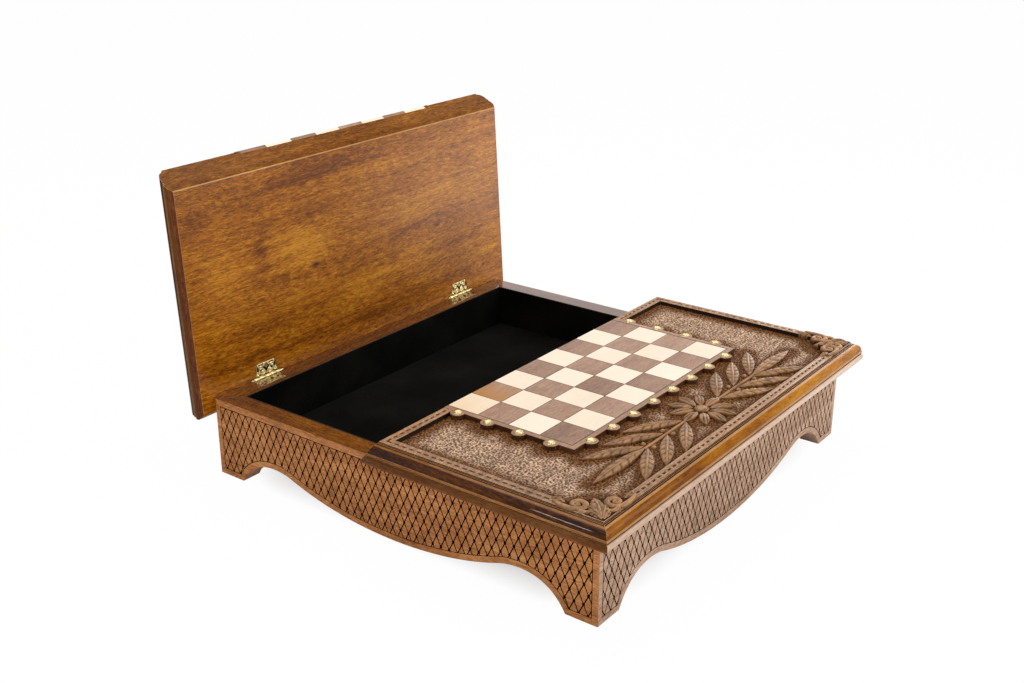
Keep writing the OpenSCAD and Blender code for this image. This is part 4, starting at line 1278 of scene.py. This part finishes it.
def panel_body(name, half, face):
    """A carcass panel with mitred ends; its outer face lies in the plane y = 0, and y runs inward."""
    outer = whole(half_outline(half), half, BASE_H, 0)
    inset = whole(inset_outline(half, LATTICE_MARGIN), half - LATTICE_MARGIN, LATTICE_TOP, LATTICE_MARGIN)
    inner = outer.copy()
    at_end = np.abs(outer[:, 0]) > half - 0.01
    inner[at_end, 0] = np.sign(outer[at_end, 0]) * (half - WALL_T)
    count = len(outer)
    rings = [np.insert(inset, 1, LATTICE_D, 1), np.insert(inset, 1, 0, 1), np.insert(outer, 1, 0, 1),
             np.insert(inner, 1, WALL_T, 1)]
    faces = [list(range(count))] + tube(4, count) + [[3 * count + i for i in range(count)][::-1]]
    outside, pit, rail = range(3)
    level = np.minimum(outer[:, 1], np.roll(outer[:, 1], -1)) > BASE_H - 1
    marks = [pit] * (count + 1) + [outside] * count + [rail if up else outside for up in level] + [outside]
    obj = new_object(name, np.concatenate(rings), faces, [face, GROOVE_BLACK, RAIL_WOOD], marks)
    return bevelled(tidy(obj), PANEL_ROUND, PANEL_SHARP)


def lattice(name, half, face):
    """The diamonds between a panel's cut lines: flat tops, dark walls, a black floor with round pits."""
    wide, tall = LATTICE_PITCH / 2, LATTICE_RISE / 2
    columns = math.ceil(half / LATTICE_PITCH) + 1
    deep, back = LATTICE_D, LATTICE_D + LATTICE_BACK
    flat, pit, wall = range(3)
    verts, faces, marks, index, edges = [], [], [], {}, set()

    def add(loop, sort):
        faces.append(loop)
        marks.append(sort)

    def shared(key, depth):
        if (key, depth) not in index:
            index[key, depth] = len(verts)
            verts.append((key[0] * wide, depth, LATTICE_TOP + key[1] * tall))
        return index[key, depth]

    def outline(corners, gap, radius, depth):
        """A diamond drawn in by a gap, with a bite taken out around each of its corners."""
        places = [np.array([x * wide, LATTICE_TOP + z * tall]) for x, z in corners]
        loop = []
        for i, place in enumerate(places):
            ends = []
            for other, turn in ((places[i - 1], -1), (places[(i + 1) % 4], 1)):
                along = (other - place) / np.linalg.norm(other - place)
                inward = turn * np.array([-along[1], along[0]])
                end = along * math.sqrt(radius ** 2 - gap ** 2) + inward * gap
                ends.append(math.atan2(end[1], end[0]))
            sweep = (ends[1] - ends[0] + math.pi) % (2 * math.pi) - math.pi
            for step in range(DOT_STEPS + 1):
                angle = ends[0] + sweep * step / DOT_STEPS
                loop.append(len(verts))
                verts.append((place[0] + radius * math.cos(angle), depth,
                              place[1] + radius * math.sin(angle)))
        return loop

    per = DOT_STEPS + 1
    for row in LATTICE_ROWS:
        for column in range(-columns, columns + 1):
            corners = [(2 * column + row % 2 + a, row + b) for a, b in ((1, 0), (0, 1), (-1, 0), (0, -1))]
            ring = [shared(key, deep) for key in corners]
            floor = outline(corners, GROOVE_FLOOR, DOT_FLOOR, deep)
            top = outline(corners, GROOVE_HALF, DOT_R, 0.0)
            add(top, flat)
            for i in range(4):
                j = (i + 1) % 4
                add([ring[i], ring[j], floor[per * j], floor[per * i + per - 1]], pit)
                add([ring[i]] + floor[per * i:per * i + per][::-1], pit)
                edges.add((corners[i], corners[j]))
            for i in range(4 * per):
                j = (i + 1) % (4 * per)
                add([floor[i], floor[j], top[j], top[i]], wall)
            add([shared(key, back) for key in corners][::-1], pit)
    for a, b in edges:
        if (b, a) not in edges:
            add([shared(a, deep), shared(a, back), shared(b, back), shared(b, deep)], pit)
    field = tidy(new_object(name, verts, faces, [face, GROOVE_BLACK, GROOVE_BROWN], marks), 0.0001)
    margin = LATTICE_MARGIN + LATTICE_GAP
    outline = whole(inset_outline(half, margin), half - margin, LATTICE_TOP - LATTICE_GAP, margin)
    verts, faces = prism(outline, -5.0, LATTICE_D + LATTICE_KEPT)
    cutter = tidy(new_object("lattice_edge", verts[:, [0, 2, 1]], faces, [GROOVE_BROWN]))
    return boolean(field, cutter, "INTERSECT")


def carcass():
    """Four panels, each with its lattice."""
    for name, half, reach, turn in (("front", HALF_L, HALF_W, 0), ("right", HALF_W, HALF_L, 90),
                                    ("back", HALF_L, HALF_W, 180), ("left", HALF_W, HALF_L, 270)):
        place = (Matrix.Translation((0, BASE_Y * MM, 0)) @ Matrix.Rotation(math.radians(turn), 4, "Z")
                 @ Matrix.Translation((0, -reach * MM, 0)))
        # The front panel gets the lighter copy of the panels' walnut: painted light
        face = LIT_FRONT_PANEL_WOOD if name == "front" else PANEL_WOOD
        body = panel_body(name + "_panel_body", half, face)
        if name in ("front", "back"):
            cut_seats(body, reach - AXIS_V, AXIS_Z, -1, -1, RAIL_WOOD)
        cut = lattice(name + "_panel_lattice", half, face)
        for obj in (body, cut):
            settle(obj, place)
            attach(obj, "base")
        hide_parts(name + "_panel")


# ---- Hinges ------------------------------------------------------------------

KNUCKLE_L = (BARREL_L - (KNUCKLES - 1) * KNUCKLE_GAP) / KNUCKLES
KNUCKLE_EDGE = 0.25
KNUCKLE_STEPS, PIN_STEPS = 28, 24
RELIEF_H = 0.62       # how far the plates' ground lies below the top of their embossing
LINE_H = 0.6          # height of the embossed curls and curves
BORDER_H, BORDER_IN, BORDER_W = 0.55, 0.9, 0.5     # the bead along a plate's edges
HEAD_H = 0.45         # height of the screws' heads
# (x, y, radius, start, turns) of the curls on a plate's right half
CURLS = ((5.2, 6.0, 2.9, 200, 1.4), (8.8, 12.6, 2.6, 20, -1.3), (14.0, 5.2, 2.3, 90, 1.2),
         (3.6, 14.2, 2.0, 160, -1.2))


def knuckle_start(place):
    return place * (KNUCKLE_L + KNUCKLE_GAP) - BARREL_L / 2


def knuckle(place):
    """One of the tubes that make up the barrel."""
    start, edge = knuckle_start(place), KNUCKLE_EDGE
    end = start + KNUCKLE_L
    return along_x(lathe([(BARREL_R - edge, start), (BARREL_R, start + edge), (BARREL_R, end - edge),
                          (BARREL_R - edge, end)], KNUCKLE_STEPS))


def plate_relief(x, y):
    """Height of the embossed scrolls on a hinge plate, x from its middle and y from the axis."""
    lines = []
    for side in (-1, 1):
        lines += [spiral(*curl, 0.85, 40) * (side, 1) for curl in CURLS]
        lines.append(bezier((side * 1, 4), (side * 3, 9), (side * 6, 9), (side * 6.4, 13)))
        lines.append(bezier((side * 8, 4), (side * 11, 8), (side * 11, 11), (side * 12.5, 15)))
    near = np.full(x.shape, 99.0)
    for px, py in np.concatenate(lines):
        near = np.minimum(near, (x - px) ** 2 + (y - py) ** 2)
    relief = LINE_H * np.exp(-near / 0.7)
    edge = np.minimum(PLATE_REACH - y, PLATE_WIDE / 2 - np.abs(x)
                      - (PLATE_WIDE - PLATE_NARROW) / 2 * y / PLATE_REACH)
    relief = np.maximum(relief, BORDER_H * np.exp(-((edge - BORDER_IN) / BORDER_W) ** 2))
    for sx, sy in SCREWS:
        away = np.hypot(x - sx, y - sy)
        relief = np.where(away < SCREW_HEAD_R + 0.2, HEAD_H * (1 - (away / 2.6) ** 2), relief)
        slot_mark = (away < SCREW_HEAD_R - 0.1) & (np.abs((x - sx) * 0.8 + (y - sy) * 0.6) < 0.3)
        relief = np.where(slot_mark, 0.0, relief)
        relief = np.where(np.abs(away - SCREW_HEAD_R - 0.25) < 0.2, -0.1, relief)
    return relief


def hinge_half(own):
    """One half of a hinge, its plate face up, axis along x, the plate reaching to -y."""
    rows, cols = 56, 112
    share, along = np.meshgrid(np.linspace(-1, 1, cols), np.linspace(1, 0, rows))
    start = BARREL_R + BARREL_ROOM
    y = start + along * (PLATE_REACH - start)
    x = share * (PLATE_WIDE - (PLATE_WIDE - PLATE_NARROW) * y / PLATE_REACH) / 2
    face = BASE_H - AXIS_Z - PLATE_INSET
    relief = plate_relief(x, y)
    top = np.minimum(face - RELIEF_H + relief, face)
    verts, faces = slab(x, -y, top, face - PLATE_T)
    hollow = 1 - smooth_step(relief, 0.05, 0.4)
    parts = [(verts, faces, np.concatenate([hollow.ravel(), np.ones(len(verts) - hollow.size)]))]
    for place in own:
        x0 = max(knuckle_start(place), -PLATE_WIDE / 2 + 0.2)
        x1 = min(x0 + KNUCKLE_L, PLATE_WIDE / 2 - 0.2)
        web = prism([(x0, -start - 0.2), (x1, -start - 0.2), (x1, -0.5), (x0, -0.5)],
                    face - PLATE_T, face - PLATE_T + 0.4)
        parts += [knuckle(place), web]
    return joined(parts)


def hinge_pin():
    """The pin of a hinge, with a ball at either end of the barrel."""
    ball_x = BARREL_L / 2 + KNUCKLE_GAP + BALL_R
    ball = [(BALL_R * math.sin(a) + 0.01, -BALL_R * math.cos(a)) for a in np.linspace(0.1, math.pi - 0.1, 11)]
    profile = [(r, z - ball_x) for r, z in ball[:-3]] + [(PIN_R, -ball_x + BALL_R)]
    profile += [(PIN_R, ball_x - BALL_R)] + [(r, z + ball_x) for r, z in ball[3:]]
    return joined([along_x(lathe(profile, PIN_STEPS))])


def hinges():
    """Both hinges of each leaf; a flap is a base plate upside down, and rides on its leaf."""
    base_half, flap_half, pin = hinge_half((0, 2, 4)), hinge_half((1, 3)), hinge_pin()
    for leaf in (front, rear):
        for label, side in (("left", -1), ("right", 1)):
            stem = "%s_%s_hinge_" % (leaf.name, label)
            place = Matrix.Translation((side * HINGE_X * MM, (BASE_Y + leaf.side * AXIS_V) * MM, AXIS_Z * MM))
            for part, shell, body, up in (("base", base_half, "base", 1), ("flap", flap_half, leaf.body, -1),
                                          ("pin", pin, "base", 1)):
                verts, faces, cavity = shell
                if leaf.side * up < 0:
                    faces = reversed_faces(faces)
                obj = new_object(stem + part + "_dressed", verts * (1, leaf.side, up), faces, [BRASS],
                                 sharp=60)
                mark(obj, "cavity", cavity)
                settle(obj, OPENED @ place if up < 0 < leaf.side else place)
                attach(obj, body)
                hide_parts(stem + part)


# ---- Felt --------------------------------------------------------------------

FELT_STEP = 4.0
FELT_WAVE = 0.12     # unevenness of the felt's face
FELT_WAVES = ((0.021, 0.034, 0.4), (0.047, 0.029, 1.9), (0.083, 0.071, 3.3))   # (along x, along y, phase)
FELT_EDGE = 0.35     # the face is this much lower along the edges


def felt_piece(name, width, height, place):
    """A sheet of felt, width by height, its soft face towards +z, slightly uneven."""
    cols, rows = round(width / FELT_STEP) + 1, round(height / FELT_STEP) + 1
    x, y = np.meshgrid(np.linspace(-width / 2, width / 2, cols),
                       np.append(np.linspace(0, height - FELT_T / 2, rows), height))
    wave = sum(np.sin(x * fx + p) * np.sin(y * fy + 2 * p) for fx, fy, p in FELT_WAVES) / len(FELT_WAVES)
    edge = np.minimum.reduce([x + width / 2, width / 2 - x, y, height - y])
    top = FELT_T - FELT_WAVE + FELT_WAVE * wave - FELT_EDGE * (1 - smooth_step(edge, 0, 5))
    verts, faces = slab(x, y, top, 0.0)
    obj = new_object(name + "_cloth", verts, faces, [BLACK_FELT], sharp=70)
    standing = height < 2 * BASE_H
    # The top edge of a standing piece gets the grey of a painted highlight
    mark(obj, "edge", standing & (verts[:, 1] > height - 0.1))
    obj.matrix_world = place
    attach(obj, "base")
    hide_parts(name)


def felts():
    inner_x, inner_y = HALF_L - WALL_T, HALF_W - WALL_T
    centre = Matrix.Translation((0, BASE_Y * MM, 0))
    low = Matrix.Translation((0, (BASE_Y - inner_y) * MM, (FELT_Z - FELT_T) * MM))
    felt_piece("felt_floor", 2 * inner_x, 2 * inner_y, low)
    stand = Matrix.Rotation(math.radians(90), 4, "X")
    for name, width, reach, turn in (("front", 2 * inner_x, inner_y, 180), ("back", 2 * inner_x, inner_y, 0),
                                     ("left", 2 * (inner_y - FELT_T), inner_x, 90),
                                     ("right", 2 * (inner_y - FELT_T), inner_x, 270)):
        place = (centre @ Matrix.Rotation(math.radians(turn), 4, "Z")
                 @ Matrix.Translation((0, reach * MM, FELT_Z * MM)) @ stand)
        felt_piece(name + "_felt", width, BASE_H - FELT_Z, place)


# ---- Assembly ----------------------------------------------------------------

for leaf, light, dark in ((front, 0, 1), (rear, 1, 0)):
    leaf_body(leaf)
    ground(leaf)
    rim_bridges(leaf)
    board_plate(leaf)
    spray_carving(leaf)
    corner_carvings(leaf)
    squares(leaf, "light_squares", MAPLE, light, "maple")
    squares(leaf, "dark_squares", SQUARE_WOOD, dark, "pale_walnut")
    glue_lines(leaf)
    studs(leaf)
carcass()
hinges()
felts()

CAD_FINISHES = {
    "stringing": STRINGING_BLACK, "bottom_board": PLYWOOD, "ledger": PLYWOOD, "block": PLYWOOD,
    "ledger_screws": STEEL, "base_screws": SCREW_BRASS, "flap_screws": SCREW_BRASS}
for name, obj in frame["nodes"].items():
    for ending, finish in CAD_FINISHES.items():
        if name.endswith(ending):
            obj.data.materials.clear()
            obj.data.materials.append(finish)

# ---- Stage -------------------------------------------------------------------

FLOOR_SIZE = 14.0
FLOOR_DARK = 0.09    # the floor turns plain white from this far inside the base's outline to the outline
FLOOR_WHITE = (0.15, 0.98)   # shares of plain white, under the part and away from it
AMBIENT = 0.45       # strength of the world's light on surfaces


def white_rays(tree):
    """1 for the rays that see plain white around the part: the camera's, glossy and transmitted ones."""
    rays = tree.nodes.new("ShaderNodeLightPath").outputs
    seen = rays["Is Camera Ray"]
    for ray in ("Is Glossy Ray", "Is Transmission Ray"):
        either = tree.nodes.new("ShaderNodeMath")
        either.operation = "MAXIMUM"
        tree.links.new(seen, either.inputs[0])
        tree.links.new(rays[ray], either.inputs[1])
        seen = either.outputs[0]
    return seen


def stage_floor():
    """A pale floor: plain white to the camera, with the part's shadow kept under and close to it."""
    made = Shader("white_floor", False, Roughness=0.9, Base_Color=(0.88, 0.88, 0.88, 1),
                  Specular_IOR_Level=0.1)
    links = made.tree.links
    place = made.vector("SUBTRACT", made.node("ShaderNodeTexCoord").outputs["Object"], (0, BASE_Y * MM, 0))
    inside = (HALF_L * MM - FLOOR_DARK, HALF_W * MM - FLOOR_DARK, 1.0)
    beyond = made.vector("MAXIMUM", made.vector("SUBTRACT", made.vector("ABSOLUTE", place), inside))
    share = made.between(made.length(beyond), *FLOOR_WHITE, end=FLOOR_DARK)
    glow = made.node("ShaderNodeEmission", Color=(1, 1, 1, 1), Strength=1.0)
    mixed = made.node("ShaderNodeMixShader", Fac=made.math("MULTIPLY", white_rays(made.tree), share))
    links.new(made.surface.outputs[0], mixed.inputs[1])
    links.new(glow.outputs[0], mixed.inputs[2])
    links.new(mixed.outputs[0], made.tree.nodes["Material Output"].inputs["Surface"])
    bpy.ops.mesh.primitive_plane_add(size=FLOOR_SIZE)
    floor = bpy.context.object
    floor.name = "studio_floor"
    floor.data.materials.append(made.material)


def area_light(name, place, target, size, power):
    data = bpy.data.lights.new(name, "AREA")
    data.shape = "RECTANGLE"
    data.size, data.size_y = size
    data.energy = power
    lamp = bpy.data.objects.new(name, data)
    lamp.location = place
    lamp.rotation_euler = (Vector(target) - Vector(place)).to_track_quat("-Z", "Y").to_euler()
    bpy.context.scene.collection.objects.link(lamp)


def world():
    """Pale light from all sides, and plain white to the camera and in reflections."""
    made = bpy.data.worlds.new("studio")
    made.use_nodes = True
    tree = made.node_tree
    back = tree.nodes["Background"]
    back.inputs["Color"].default_value = (1, 1, 1, 1)
    level = tree.nodes.new("ShaderNodeMapRange")
    level.inputs["To Min"].default_value = AMBIENT
    tree.links.new(white_rays(tree), level.inputs["Value"])
    tree.links.new(level.outputs[0], back.inputs["Strength"])
    bpy.context.scene.world = made


# (name, place, target, size, power) of the lamps, in metres and watts
LAMPS = (("soft_top", (0.2, 0.5, 2.2), (0, 0, 0.05), (1.8, 1.8), 30),
         ("soft_right", (1.0, -2.2, 1.3), (0, 0, 0.1), (1.4, 1.2), 34),
         ("strip_left", (-1.15, 0.04, 0.5), (-0.26, -0.26, 0.11), (0.26, 0.1), 2.8),
         ("card_right", (0.75, -0.12, 0.2), (0.1, 0.2, 0.2), (0.5, 0.34), 1.2))

# The camera that was fitted to the photo
CAMERA_PLACE = Vector((-1114.8, BASE_Y - 804.6, 688.5)) * MM
CAMERA_AIM = Vector((0.7419, 0.5592, -0.3698))
SENSOR = 36.0
FOCAL_PIXELS, FRAME_PIXELS = 1288.0, 1024.0


def camera():
    data = bpy.data.cameras.new("camera")
    data.sensor_width = SENSOR
    data.lens = SENSOR * FOCAL_PIXELS / FRAME_PIXELS
    data.clip_start, data.clip_end = 0.05, 50
    obj = bpy.data.objects.new("camera", data)
    obj.location = CAMERA_PLACE
    obj.rotation_euler = CAMERA_AIM.to_track_quat("-Z", "Y").to_euler()
    bpy.context.scene.collection.objects.link(obj)
    bpy.context.scene.camera = obj


stage_floor()
world()
for lamp in LAMPS:
    area_light(*lamp)
camera()
bpy.context.scene.view_settings.view_transform = "Standard"
